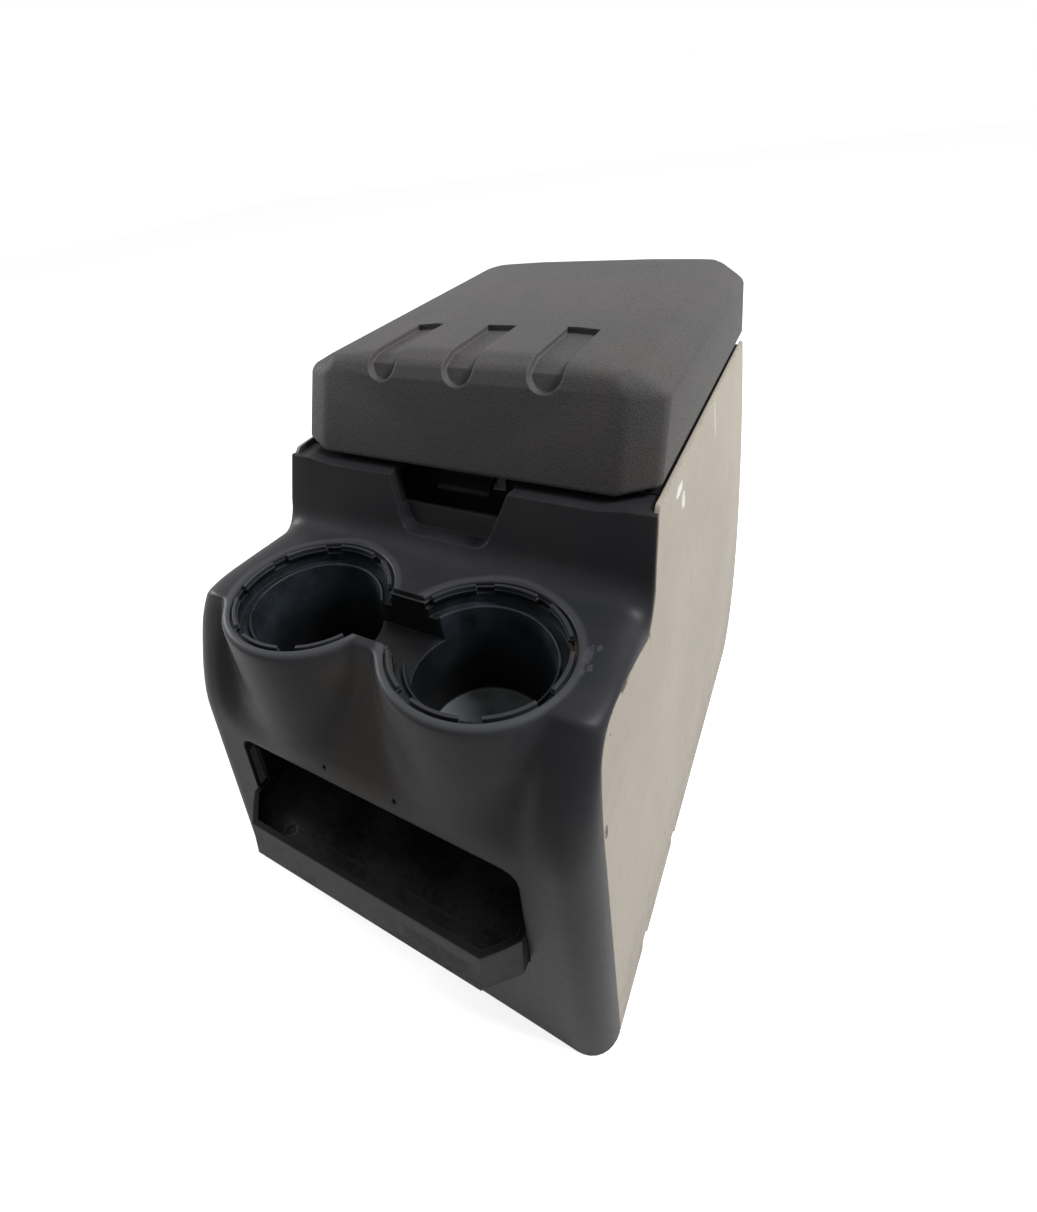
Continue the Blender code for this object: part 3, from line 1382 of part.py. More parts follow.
paint(look("charcoal plastic", (0.030, 0.031, 0.034), 0.50), [add_fascia(console)])
paint(look("black plastic", (0.014, 0.014, 0.016), 0.45), [add_cup_insert(console), add_tray(console)])
panels = [add_side_panel("left", -1, console), add_side_panel("right", 1, console)]
paint(look("beige plastic", (0.56, 0.51, 0.45), 0.60), [*panels, add_rear_panel(console)])
paint(look("bin plastic", (0.020, 0.020, 0.022), 0.60), [add_bin(console), add_liner(lid_axis)])
bumpers = [add_bumper("left", -1, lid_axis), add_bumper("right", 1, lid_axis)]
paint(look("rubber", (0.012, 0.012, 0.012), 0.85), [add_mat(console), *bumpers])
paint(look("grained skin", (0.050, 0.048, 0.047), 0.62), [add_pad(lid_axis)])
paint(look("lid frame plastic", (0.025, 0.025, 0.026), 0.60), [add_frame(lid_axis)])
body_spans = ((-LEAF_HALF, -KNUCKLE_HALF - FIT), (KNUCKLE_HALF + FIT, LEAF_HALF))
lid_spans = ((-KNUCKLE_HALF + FIT, KNUCKLE_HALF - FIT),)
lid_leaf_low = liner_low() - FIT - LEAF
body_leaf = add_leaf("hinge_leaf_body", RIM_TOP + FIT, body_spans, leaf_screw_y(), console)
lid_leaf = add_leaf("hinge_leaf_lid", lid_leaf_low, lid_spans, lid_leaf_screw_y(), lid_axis)
front_bracket = add_bracket("floor_bracket_front", BRACKET_YS[0], console)
rear_bracket = add_bracket("floor_bracket_rear", BRACKET_YS[1], console)
steel = [body_leaf, lid_leaf, add_hinge_pin(console), add_striker(console), front_bracket, rear_bracket]
paint(look("zinc-plated steel", (0.45, 0.45, 0.46), 0.40, 1.0), steel)
paint(look("latch plastic", (0.015, 0.015, 0.016), 0.50), [add_paddle(latch_axis)])
paint(look("spring steel", (0.30, 0.30, 0.31), 0.35, 1.0), [add_latch_pin(lid_axis), add_spring(lid_axis)])
body_screws = add_front_screws(console) + add_bin_screws(console) + add_bracket_screws(console)
paint(look("screw steel", (0.20, 0.20, 0.21), 0.45, 1.0), body_screws + add_lid_screws(lid_axis))
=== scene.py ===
"""Car center console with two cup holders, an open front tray and a storage bin under a hinged
armrest lid, dressed for the photograph's view. Metres, +Z up, front towards -Y.

Pieces are drawn about the cup line, as the part's source draws them: X from the middle, Y from
the line through both cup centres, Z from the deck plane. settle() then moves each mesh to where
the part stands, with its foot at Z 0.
"""

import json
import math

import bmesh
import bpy
from mathutils import Matrix, Vector

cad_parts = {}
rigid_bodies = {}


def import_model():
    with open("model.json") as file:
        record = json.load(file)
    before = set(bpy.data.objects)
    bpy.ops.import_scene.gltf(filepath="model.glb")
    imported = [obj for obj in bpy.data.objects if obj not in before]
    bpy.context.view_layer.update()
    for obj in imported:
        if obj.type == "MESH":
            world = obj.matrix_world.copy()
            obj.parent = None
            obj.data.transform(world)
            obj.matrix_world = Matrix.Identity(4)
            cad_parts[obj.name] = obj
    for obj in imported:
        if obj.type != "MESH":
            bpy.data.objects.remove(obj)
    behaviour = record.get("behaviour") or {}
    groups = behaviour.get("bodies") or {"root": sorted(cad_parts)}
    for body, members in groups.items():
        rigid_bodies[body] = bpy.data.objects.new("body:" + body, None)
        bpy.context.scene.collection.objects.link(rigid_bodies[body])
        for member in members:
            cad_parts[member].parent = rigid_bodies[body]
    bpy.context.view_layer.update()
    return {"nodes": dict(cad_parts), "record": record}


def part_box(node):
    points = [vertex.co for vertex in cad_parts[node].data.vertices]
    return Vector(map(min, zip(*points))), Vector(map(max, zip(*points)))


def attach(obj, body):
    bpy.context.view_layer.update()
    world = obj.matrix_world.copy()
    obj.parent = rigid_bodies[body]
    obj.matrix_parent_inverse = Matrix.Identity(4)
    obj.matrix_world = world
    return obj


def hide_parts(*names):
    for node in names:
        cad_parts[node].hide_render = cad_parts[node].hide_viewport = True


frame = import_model()


# Front fascia
# One thin moulding of charcoal plastic: the swollen front with a round lobe under each cup, the
# deck, and the riser up to the lid. It is moulded in one shot and screwed to both side panels.
DECK_HEIGHT = 0.260
TRAY_REACH = 0.090
LID_REACH = 0.400
ORIGIN = Vector((0, (TRAY_REACH - LID_REACH) / 2, DECK_HEIGHT))
FLOOR = -DECK_HEIGHT
FIT = 0.0003
PLAY = 0.0008
TOP_HALF_WIDTH = 0.1337
FLARE = 0.072
PANEL = 0.003
PANEL_TOP = 0.052
SEAM_GAP = 0.0008
SKIN = 0.003
FACE_TOP_Y = 0.028
FACE_SWELL = 0.032
SEAM_SWELL = 0.010
SWELL_HEIGHT = 0.088
FOOT_LEAN = 0.006
CORNER = 0.020
EDGE_ROUND = 0.004
FOOT_ARCH = 0.004
SHOULDER_DROP = 0.005
SHOULDER_FALL = 0.010
RISER_FOOT_Y = 0.065
RISER_FILLET = 0.014
RISER_TOP_Y = 0.079
RISER_HEIGHT = 0.046
RISER_LIFT = 0.005
RISER_LIFT_X = 0.100
RISER_FLANGE = 0.022
RISER_SEAM_EASE = 0.8
TRIM_REAR_Y = 0.150
HOLE_X = 0.0264
HOLE_DROP = 0.0856
HOLE_RADIUS = 0.0015
CUP_X = 0.0605
LOBE_RADIUS = 0.059
OPENING_RADIUS = 0.0536
OPENING_LIP_ROUND = 0.0014
LOBE_BLEND = 0.008
LOBE_FADE = 0.030
VALLEY_DIP = 0.0065
VALLEY_MORE = 0.004
VALLEY_HALF = 0.040
VALLEY_END = 0.117
VALLEY_FADE = 0.018
CHANNEL_HALF = 0.022
OPENING_TOP = 0.097
OPENING_BOTTOM = 0.180
OPENING_TOP_HALF = 0.104
OPENING_BOTTOM_HALF = 0.108
OPENING_ROUND = 0.010
LUG_X = 0.068
LUG_WIDTH = 0.016
LUG_YS = (-0.0615, -0.040)
LUG_SCREW_Y = -0.050
LUG_DROP = 0.012
LUG_SEAT = 0.005
TRAY_FLOOR_DROP = 0.163
TRAY_FLOOR = 0.003
POCKET_TOP_HALF = 0.046
POCKET_FOOT_HALF = 0.034
POCKET_FOOT_Z = 0.009
POCKET_DEPTH = 0.0115
POCKET_WALL = 0.0025
POCKET_ROUND = 0.012
BAND_TOP_Z = 0.024
FASCIA_SCREW_DROP = 0.140
FASCIA_SCREW_Y = -0.014
TAB_HALF = 0.008
TAB_SET = 0.004
BOSS = 0.008
POST_RADIUS = 0.005
EAR_DROP = 0.0130
EARS = ((0.0, 0.036), (0.100, 0.050), (-0.100, 0.050))
SHANK_RADIUS = 0.0018
HEAD_RADIUS = 0.0038
THREAD_PLAY = 0.0003
SCREW_HOLE = SHANK_RADIUS + THREAD_PLAY
CUT = 0.05
SHORT_CUT = 0.01
BENT_ANGLE = math.radians(0.05)
MERGE_REACH = 1e-5
FLAT_ANGLE = math.radians(1)
EASE_ANGLE = math.radians(32)
FIRST_POINT = 0.13
ROUND_STEPS = 5
OPENING_SIDES = 120
FACE_ROWS = 26
FACE_LOW_SHARE = 0.02
FACE_PACKING = 1.3
EDGE_TURNS = range(0, 91, 15)
RISER_ROWS = 8
SEAM_ROWS = range(22, 36)
SEAM_PASSES = 14
SEAM_CORNER = 29
SEAM_ROUND = 0.020
DECK_YS = (-0.022, -0.014, -0.006, 0.002, 0.010, 0.018, 0.026, 0.034, 0.042)
SIDES = (("left", -1), ("right", 1))
AXES = {
    "X": lambda a, b, c: (c, a, b),
    "Y": lambda a, b, c: (a, c, b),
    "Z": lambda a, b, c: (a, b, c),
}


def place_object(name, data):
    obj = bpy.data.objects.new(name, data)
    bpy.context.scene.collection.objects.link(obj)
    return obj


def add_object(name, points, faces, flat=True):
    """A closed mesh with its faces turned outwards."""
    mesh = bpy.data.meshes.new(name)
    mesh.from_pydata([Vector(point) for point in points], [], faces)
    form = bmesh.new()
    form.from_mesh(mesh)
    if flat:
        bmesh.ops.connect_verts_nonplanar(form, angle_limit=BENT_ANGLE, faces=form.faces)
    bmesh.ops.recalc_face_normals(form, faces=form.faces)
    form.to_mesh(mesh)
    form.free()
    return place_object(name, mesh)


def loft(name, rings, flat=True):
    """A closed solid through rings that have the same number of points."""
    count = len(rings[0])
    points = [point for ring in rings for point in ring]
    faces = [list(range(count)), list(range(len(points) - count, len(points)))]
    for row in range(len(rings) - 1):
        for i in range(count):
            j = (i + 1) % count
            a = row * count
            faces.append([a + i, a + j, a + count + j, a + count + i])
    return add_object(name, points, faces, flat)


def prism(name, outline, axis, low, high):
    """An outline carried along an axis."""
    rings = [[AXES[axis](a, b, c) for a, b in outline] for c in (low, high)]
    return loft(name, rings)


def box(name, low, high):
    outline = [(low[0], low[1]), (high[0], low[1]), (high[0], high[1]), (low[0], high[1])]
    return prism(name, outline, "Z", low[2], high[2])


def circle(radius, sides, centre=(0.0, 0.0)):
    """Points around a circle; the first lies just off the axis, clear of any edge along it."""
    turns = [2 * math.pi * (i + FIRST_POINT) / sides for i in range(sides)]
    return [(centre[0] + radius * math.cos(t), centre[1] + radius * math.sin(t)) for t in turns]


def rod(name, radius, axis, low, high, centre, sides=16):
    return prism(name, circle(radius, sides, centre), axis, low, high)


def turned(name, profile, sides, centre):
    """A solid turned about Z from a profile of (radius, height), with a flat face at both ends."""
    rings = [[(x, y, z) for x, y in circle(radius, sides, centre)] for radius, z in profile]
    return loft(name, rings)


def combine(obj, other, operation):
    """Boolean of two objects; the other one becomes a hidden helper."""
    modifier = obj.modifiers.new(other.name, "BOOLEAN")
    modifier.operation = operation
    modifier.object = other
    modifier.solver = "EXACT"
    other.hide_render = True
    other.display_type = "WIRE"


def cut(obj, *cutters):
    for cutter in cutters:
        combine(obj, cutter, "DIFFERENCE")


def fuse(obj, *others):
    for other in others:
        combine(obj, other, "UNION")


def rounded(corners, radius, steps=3):
    """An outline with each corner rounded by an arc that touches both its sides."""
    outline = []
    for i, corner in enumerate(corners):
        here = Vector(corner)
        before = (Vector(corners[i - 1]) - here).normalized()
        after = (Vector(corners[(i + 1) % len(corners)]) - here).normalized()
        half = before.angle(after) / 2
        middle = here + (before + after).normalized() * radius / math.sin(half)
        start = here + before * radius / math.tan(half) - middle
        turn = before.angle_signed(after)
        sweep = (math.pi - abs(turn)) * (1 if turn > 0 else -1)
        for step in range(steps + 1):
            spoke = start.copy()
            spoke.rotate(Matrix.Rotation(sweep * step / steps, 2))
            outline.append(tuple(middle + spoke))
    return outline


def bezier(points, t):
    """A point on the curve drawn by any number of control points."""
    points = [Vector(point) for point in points]
    while len(points) > 1:
        points = [a.lerp(b, t) for a, b in zip(points, points[1:])]
    return tuple(points[0])


def make_plain(obj):
    """Turn what an object's modifiers make into its own mesh."""
    graph = bpy.context.evaluated_depsgraph_get()
    mesh = bpy.data.meshes.new_from_object(obj.evaluated_get(graph))
    obj.modifiers.clear()
    obj.data = mesh


def merge(mesh, flatten=False):
    """Merge the doubled points of a mesh and, where asked, join up its flat faces."""
    form = bmesh.new()
    form.from_mesh(mesh)
    bmesh.ops.remove_doubles(form, verts=form.verts, dist=MERGE_REACH)
    if flatten:
        bmesh.ops.dissolve_limit(
            form, angle_limit=FLAT_ANGLE, verts=form.verts, edges=form.edges,
        )
    form.to_mesh(mesh)
    form.free()


def ease(obj, width, steps):
    """Round the edges of a piece: its flat faces are joined up first."""
    merge(obj.data, flatten=True)
    bevel = obj.modifiers.new("eased edges", "BEVEL")
    bevel.width = width
    bevel.segments = steps
    bevel.limit_method = "ANGLE"
    bevel.angle_limit = EASE_ANGLE
    make_plain(obj)


def smooth(obj, angle, width=0.0, steps=2):
    """Shade a piece smooth between its sharp edges, which are rounded where a width is given."""
    if width:
        ease(obj, width, steps)
    obj.data.shade_smooth()
    obj.data.set_sharp_from_angle(angle=math.radians(angle))
    if width:
        weigh = obj.modifiers.new("even shading", "WEIGHTED_NORMAL")
        weigh.keep_sharp = True
        make_plain(obj)


def settle(obj, angle=30, width=0.0, steps=2):
    """Apply a piece's modifiers, drop its cutters, move it to its place and smooth it."""
    make_plain(obj)
    for cutter in [other for other in bpy.data.objects if other.display_type == "WIRE"]:
        bpy.data.objects.remove(cutter)
    obj.data.transform(Matrix.Translation(ORIGIN))
    smooth(obj, angle, width, steps)


def dress(obj, material, body, slot, *nodes):
    """Give a finished piece its material, and say which body and nodes it stands for."""
    obj.data.materials.clear()
    obj.data.materials.append(material)
    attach(obj, body)
    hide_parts(*(nodes or (obj.name.removesuffix("_look"),)))


class Wire:
    """One socket of a node tree. Sums on it add Math nodes, and node() adds any other node."""

    def __init__(self, tree, socket=None):
        self.tree = tree
        self.socket = socket

    def node(self, kind, values=None, out=0, **settings):
        """Add a node: its settings first, then the values or links of its sockets."""
        made = self.tree.nodes.new(kind if "Node" in kind else "ShaderNode" + kind)
        for key, value in settings.items():
            setattr(made, key, value)
        for key, value in (values or {}).items():
            if isinstance(value, Wire):
                self.tree.links.new(value.socket, made.inputs[key])
            else:
                made.inputs[key].default_value = value
        return Wire(self.tree, made.outputs[out])

    def maths(self, operation, first, second=0.0):
        return self.node("Math", {0: first, 1: second}, operation=operation)

    def __add__(self, other):
        return self.maths("ADD", self, other)

    __radd__ = __add__

    def __sub__(self, other):
        return self.maths("SUBTRACT", self, other)

    def __rsub__(self, other):
        return self.maths("SUBTRACT", other, self)

    def __mul__(self, other):
        return self.maths("MULTIPLY", self, other)

    __rmul__ = __mul__

    def __truediv__(self, other):
        return self.maths("DIVIDE", self, other)

    def __rtruediv__(self, other):
        return self.maths("DIVIDE", other, self)

    def __abs__(self):
        return self.maths("ABSOLUTE", self)

    def feeds(self, shader, name):
        self.tree.links.new(self.socket, shader.inputs[name])


def tint(red, green, blue):
    """A colour as a screen shows it, from 0 to 255, as the light that it stands for."""
    parts = [value / 255 for value in (red, green, blue)]
    return (*[v / 12.92 if v <= 0.04045 else ((v + 0.055) / 1.055) ** 2.4 for v in parts], 1.0)


def start_finish(name, **constants):
    """A material, the wire that carries a point of the piece, and its shader."""
    material = bpy.data.materials.new(name)
    material.use_nodes = True
    shader = material.node_tree.nodes["Principled BSDF"]
    for key, value in constants.items():
        shader.inputs[key.replace("_", " ").title().replace("Ior", "IOR")].default_value = value
    return material, Wire(material.node_tree).node("TexCoord", out="Object"), shader


def on_axis(vector, axis):
    """One axis of a point or a direction."""
    return vector.node("SeparateXYZ", {"Vector": vector}, out=axis)


def raised(at):
    """Height of a point over the deck."""
    return on_axis(at, "Z") - DECK_HEIGHT


def noise(at, scale, detail=2.0, rough=0.5):
    return at.node("TexNoise", {"Vector": at, "Scale": scale, "Detail": detail, "Roughness": rough})


def band(value, low, high):
    """0 below low, 1 above high, and a soft step between; the two may be the other way round."""
    ends = {"Value": value, "From Min": low, "From Max": high}
    return value.node("MapRange", ends, interpolation_type="SMOOTHSTEP")


def blend(share, first, second):
    return share.node("Mix", {0: share, 6: first, 7: second}, out=2, data_type="RGBA")


def spot(at, centre, sizes, turn=0.0, ragged=0.5, grain=350):
    """A mark with a ragged edge around a point that is given as the pieces are drawn."""
    sizes = {"Location": Vector(centre) + ORIGIN, "Rotation": (turn, 0, 0), "Scale": sizes}
    near = at.node("Mapping", {"Vector": at, **sizes}, vector_type="TEXTURE")
    far = near.node("VectorMath", {0: near}, out="Value", operation="LENGTH")
    return band(far + (noise(at, grain, 3) - 0.5) * (2 * ragged), 1.0, 0.7)


def spots(at, ragged, grain, *marks):
    """One mask of several marks, each given by its centre and sizes."""
    masks = [spot(at, centre, sizes, 0, ragged, grain) for centre, sizes in marks]
    whole = masks[0]
    for mask in masks[1:]:
        whole = whole.maths("MAXIMUM", whole, mask)
    return whole


def rounded_edge(at, radius):
    """The surface's direction with its edges rounded, and a mask of where they are."""
    soft = at.node("Bevel", {"Radius": radius}, samples=4)
    plain = at.node("NewGeometry", out="Normal")
    same = at.node("VectorMath", {0: soft, 1: plain}, out="Value", operation="DOT_PRODUCT")
    return soft, band(1 - same, 0.01, 0.16)


def bump(height, distance, normal=None, strength=1.0):
    values = {"Height": height, "Distance": distance, "Strength": strength}
    if normal:
        values["Normal"] = normal
    return height.node("Bump", values)


def charcoal_plastic():
    """Satin moulding with a fine etched grain, dusty in its hollows and rubbed on its edges, with a
    painted highlight on the lips of the cup openings and a painted sheen on the right corner of the
    deck.
    """
    material, at, shader = start_finish("charcoal plastic", specular_ior_level=0.13)
    across, height = on_axis(at, "X"), raised(at)
    clouds, fine = noise(at, 14, 4, 0.6), noise(at, 260, 3)
    soft, edge = rounded_edge(at, 0.0016)
    colour = blend(band(clouds, 0.35, 0.7), tint(38, 39, 42), tint(47, 47, 50))
    valley = band(height, -0.150, -0.085) * band(height, -0.004, -0.020)
    valley = band(abs(across), 0.050, 0.006) * valley
    lower_left = band(across, -0.080, -0.135) * band(height, -0.06, -0.14)
    dust = (valley * 0.75 + lower_left * 0.6) * band(clouds + fine * 0.25, 0.3, 0.75)
    colour = blend(dust, colour, tint(70, 63, 57))
    # Pale marks on the right corner of the deck: small scuffs, and a painted sheen where the corner
    # catches the light; they also make the surface a little rougher there.
    small = (0.0016, 0.0030, 0.01)
    scuffs_and_sheen = spots(
        at, 0.9, 700, ((0.1174, 0.0141, -0.001), (0.0030, 0.0080, 0.01)),
        ((0.1214, 0.0213, -0.001), small), ((0.1212, 0.0059, -0.001), small),
        ((0.1185, 0.0018, -0.001), small),
    )
    colour = blend(scuffs_and_sheen * 0.22, colour, tint(104, 104, 108))
    depth = on_axis(at, "Y") - ORIGIN.y
    plan = at.node("CombineXYZ", {"X": abs(across) - CUP_X, "Y": depth})
    reach = at.node("VectorMath", {0: plan}, out="Value", operation="LENGTH")
    # Painted highlight along the lips of the cup openings, stronger at their front.
    lip = band(reach, OPENING_RADIUS + 0.0062, OPENING_RADIUS + 0.0030)
    lip = lip * band(height, -0.006, -0.002)
    colour = blend(lip * (0.45 + band(depth, 0.02, -0.03) * 0.35), colour, tint(78, 79, 82))
    colour = blend(edge * (0.35 + fine * 0.4), colour, tint(72, 71, 72))
    colour.feeds(shader, "Base Color")
    (0.36 + fine * 0.12 + dust * 0.15 + scuffs_and_sheen * 0.2).feeds(shader, "Roughness")
    bump(noise(at, 1400, 2), 0.00006, soft).feeds(shader, "Normal")
    return material


def side_x(z):
    """Half width of the body at a height."""
    return TOP_HALF_WIDTH + FLARE * (PANEL_TOP - z)


def inner_x(z):
    return side_x(z) - PANEL


def swell_y(z, swell):
    """Front of the body at a height: it swells below the deck and leans out to the floor."""
    drop = max(0.0, -z)
    curve = swell * math.sin(math.pi / 2 * min(1.0, drop / SWELL_HEIGHT))
    lean = max(0.0, drop - SWELL_HEIGHT) / (DECK_HEIGHT - SWELL_HEIGHT)
    return -(FACE_TOP_Y + curve + FOOT_LEAN * lean)


def face_y(x, z):
    """Front face with the round lobe that stands out under each cup."""
    base = -swell_y(z, FACE_SWELL)
    dip = VALLEY_DIP + VALLEY_MORE * max(0.0, 1 - (x / VALLEY_HALF) ** 2)
    share = min(1.0, max(0.0, (VALLEY_END - abs(x)) / VALLEY_FADE))
    dip *= share**2 * (3 - 2 * share) * math.sin(math.pi * min(1.0, max(0.0, -z) / SWELL_HEIGHT))
    base -= dip
    lobe = math.sqrt(max(0.0, LOBE_RADIUS**2 - (x - CUP_X) ** 2))
    share = max(0.0, 1 - abs(base - lobe) / LOBE_BLEND)
    fade = min(1.0, max(0.0, (z + OPENING_TOP) / LOBE_FADE))
    return -(max(base, lobe) + fade * share**2 * LOBE_BLEND / 4)


def shoulder_z(y):
    """Height of the seam along the deck."""
    length = RISER_FOOT_Y - RISER_FILLET + FACE_TOP_Y
    return -(SHOULDER_DROP + SHOULDER_FALL * max(0.0, (y + FACE_TOP_Y) / length) ** 2)


def half_columns(width, count):
    """Places across half the face, close together where the lobes meet it."""
    return [width * (1 - math.cos(math.pi * i / count)) / 2 for i in range(count + 1)]


def offset_curve(curve, distance):
    """A plan curve moved to its rear side."""
    moved = []
    for i, point in enumerate(curve):
        before = Vector(curve[max(0, i - 1)])
        after = Vector(curve[min(len(curve) - 1, i + 1)])
        along = (after - before).normalized()
        moved.append((point[0] - along.y * distance, point[1] + along.x * distance))
    moved[0] = (0.0, moved[0][1])
    return moved


def corner_points(flat, seam, steps):
    """Quarter of an ellipse from the last flat point to the seam."""
    points = []
    for step in range(1, steps + 1):
        turn = math.pi / 2 * step / steps
        across = flat[0] + (seam[0] - flat[0]) * math.sin(turn)
        rest = [flat[k] + (seam[k] - flat[k]) * (1 - math.cos(turn)) for k in (1, 2)]
        points.append((across, *rest))
    return points


def seam_point(y, z):
    return (side_x(z), y, z)


def face_row(z, columns, arch=0.0):
    flat = [(x, face_y(x, z)) for x in half_columns(side_x(z) - CORNER, columns)]
    lifts = [arch * max(0.0, 1 - (x / flat[-1][0]) ** 2) for x, _ in flat]
    points = [(x, y, z + lift) for (x, y), lift in zip(flat, lifts)]
    return points, seam_point(swell_y(z, SEAM_SWELL), z)


def edge_row(turn, columns):
    """Part of the rounding between face and deck."""
    low = -EDGE_ROUND
    curve = [(x, face_y(x, low)) for x in half_columns(side_x(0) - CORNER, columns)]
    moved = offset_curve(curve, EDGE_ROUND * (1 - math.cos(turn)))
    share = turn / (math.pi / 2)
    y = -FACE_TOP_Y + share * EDGE_ROUND
    z = low * (1 - math.sin(turn))
    return [(x, depth, z) for x, depth in moved], seam_point(y, shoulder_z(y))


def deck_row(y, columns):
    """Straight across the deck, but no further forward than its rounded edge."""
    edge, _ = edge_row(math.pi / 2, columns)
    share = max(0.0, -y / FACE_TOP_Y)
    points = [(x, y if y >= 0 else depth * share, 0.0) for x, depth, _ in edge]
    return points, seam_point(y, shoulder_z(y))


def riser_y(z):
    """Front of the riser above its fillet."""
    return RISER_FOOT_Y + (RISER_TOP_Y - RISER_FOOT_Y) * z / RISER_HEIGHT


def end_lift(x, z):
    """The top of the riser rises towards its ends, as the lid's lower edge does."""
    share = max(0.0, (x - RISER_LIFT_X) / (TOP_HALF_WIDTH - RISER_LIFT_X))
    return RISER_LIFT * share * max(0.0, z / RISER_HEIGHT)


def riser_columns(y, z, columns):
    points = [(x, y, z + end_lift(x, z)) for x in half_columns(side_x(0) - CORNER, columns)]
    return points, seam_point(y + PLAY, z + end_lift(side_x(0) - CORNER, z))


def riser_row(t, columns):
    """Fillet from the deck for t under 1, then the riser up to t = 2."""
    foot = RISER_FOOT_Y - RISER_FILLET
    knee = RISER_FILLET
    if t >= 1:
        z = knee + (RISER_HEIGHT - knee) * (t - 1)
        return riser_columns(riser_y(z), z, columns)
    y, z = bezier([(foot, 0.0), (RISER_FOOT_Y, 0.0), (riser_y(knee), knee)], t)
    low = shoulder_z(foot)
    middle = (RISER_FOOT_Y, low * RISER_SEAM_EASE)
    seam = bezier([(foot, low), middle, (riser_y(knee) + PLAY, knee)], t)
    points, _ = riser_columns(y, z, columns)
    return points, seam_point(*seam)


def flange_row(columns):
    return riser_columns(RISER_TOP_Y + RISER_FLANGE, RISER_HEIGHT, columns)


def round_seam(seams):
    """The seam with its corner at the front of the deck carried by a wide curve."""
    reach = [0.0]
    for before, after in zip(seams, seams[1:]):
        reach.append(reach[-1] + (after - before).length)
    start, end = reach[SEAM_CORNER] - SEAM_ROUND, reach[SEAM_CORNER] + SEAM_ROUND

    def at(length):
        i = next(k for k in range(1, len(reach)) if reach[k] >= length)
        return seams[i - 1].lerp(seams[i], (length - reach[i - 1]) / (reach[i] - reach[i - 1]))

    corner = [at(start), seams[SEAM_CORNER], at(end)]
    return [
        bezier(corner, (length - start) / (end - start)) if start < length < end else tuple(seam)
        for seam, length in zip(seams, reach)
    ]


def fascia_rows(columns=34):
    rows = [face_row(FLOOR + PLAY / 2, columns, FOOT_ARCH)]
    for i in range(1, FACE_ROWS):
        share = FACE_LOW_SHARE + (1 - FACE_LOW_SHARE) * (1 - i / FACE_ROWS) ** FACE_PACKING
        rows.append(face_row(FLOOR * share, columns))
    rows += [edge_row(math.radians(turn), columns) for turn in EDGE_TURNS]
    rows += [deck_row(y, columns) for y in DECK_YS]
    rows += [riser_row(i / RISER_ROWS, columns) for i in range(2 * RISER_ROWS + 1)]
    for _ in range(SEAM_PASSES):
        seams = [seam for _, seam in rows]
        for i in SEAM_ROWS:
            y, z = [(seams[i - 1][k] + 2 * seams[i][k] + seams[i + 1][k]) / 4 for k in (1, 2)]
            rows[i] = (rows[i][0], seam_point(y, z))
    seams = round_seam([Vector(seam[1:]) for _, seam in rows])
    rows = [(flat, seam_point(*seam)) for (flat, _), seam in zip(rows, seams)]
    rows.append(flange_row(columns))
    return rows


def seam_path():
    """The seam from the floor to the top of the riser, as (y, z)."""
    return [seam[1:] for _, seam in fascia_rows()[:-1]]


def add_fascia_skin(steps=8):
    rows = []
    for flat, seam in fascia_rows():
        half = flat + corner_points(flat[-1], seam, steps)
        rows.append([(-x, y, z) for x, y, z in reversed(half[1:])] + half)
    width = len(rows[0])
    points = [point for row in rows for point in row]
    faces = []
    for r in range(len(rows) - 1):
        for i in range(width - 1):
            a = r * width + i
            faces.append([a, a + 1, a + width + 1, a + width])
    skin = add_object("front_fascia_look", points, faces)
    if skin.data.polygons[0].normal.y > 0:
        skin.data.flip_normals()
    wall = skin.modifiers.new("wall", "SOLIDIFY")
    wall.thickness = SKIN
    wall.offset = -1
    skin.modifiers.new("flat faces", "TRIANGULATE")
    return skin


def sheared_prism(name, outline, front, back):
    """An (x, z) outline carried back along Y from the slope of the riser."""
    rings = [[(x, riser_y(z) + depth, z) for x, z in outline] for depth in (front, back)]
    return loft(name, rings)


def pocket_outline(top, grow):
    """The finger recess seen from the front, wider by grow all round."""
    slope = (POCKET_TOP_HALF - POCKET_FOOT_HALF) / (RISER_HEIGHT - POCKET_FOOT_Z)
    foot = POCKET_FOOT_Z - grow
    low = POCKET_FOOT_HALF + grow - slope * grow
    high = low + slope * (top - foot)
    turn = POCKET_ROUND
    corner = [(low - turn, foot), (low - turn / 4, foot), (low, foot + turn * 2 / 3)]
    right = [bezier(corner, i / 6) for i in range(7)]
    return [(-x, z) for x, z in reversed(right)] + right + [(high, top), (-high, top)]


def add_pocket(fascia):
    shell = pocket_outline(RISER_HEIGHT - SKIN / 2, POCKET_WALL)
    tub = sheared_prism("pocket_tub", shell, SKIN / 2, POCKET_DEPTH + POCKET_WALL)
    fuse(fascia, tub)
    top = RISER_HEIGHT + CUT
    hollow = pocket_outline(top, 0.0)
    cut(fascia, sheared_prism("pocket_hollow", hollow, -CUT, POCKET_DEPTH))
    slope = (POCKET_TOP_HALF - POCKET_FOOT_HALF) / (RISER_HEIGHT - POCKET_FOOT_Z)
    low = POCKET_FOOT_HALF + slope * (BAND_TOP_Z - POCKET_FOOT_Z) - PLAY
    high = low + slope * (top - BAND_TOP_Z)
    window = [(-low, BAND_TOP_Z), (low, BAND_TOP_Z), (high, top), (-high, top)]
    cut(fascia, sheared_prism("pocket_window", window, POCKET_DEPTH / 2, CUT))


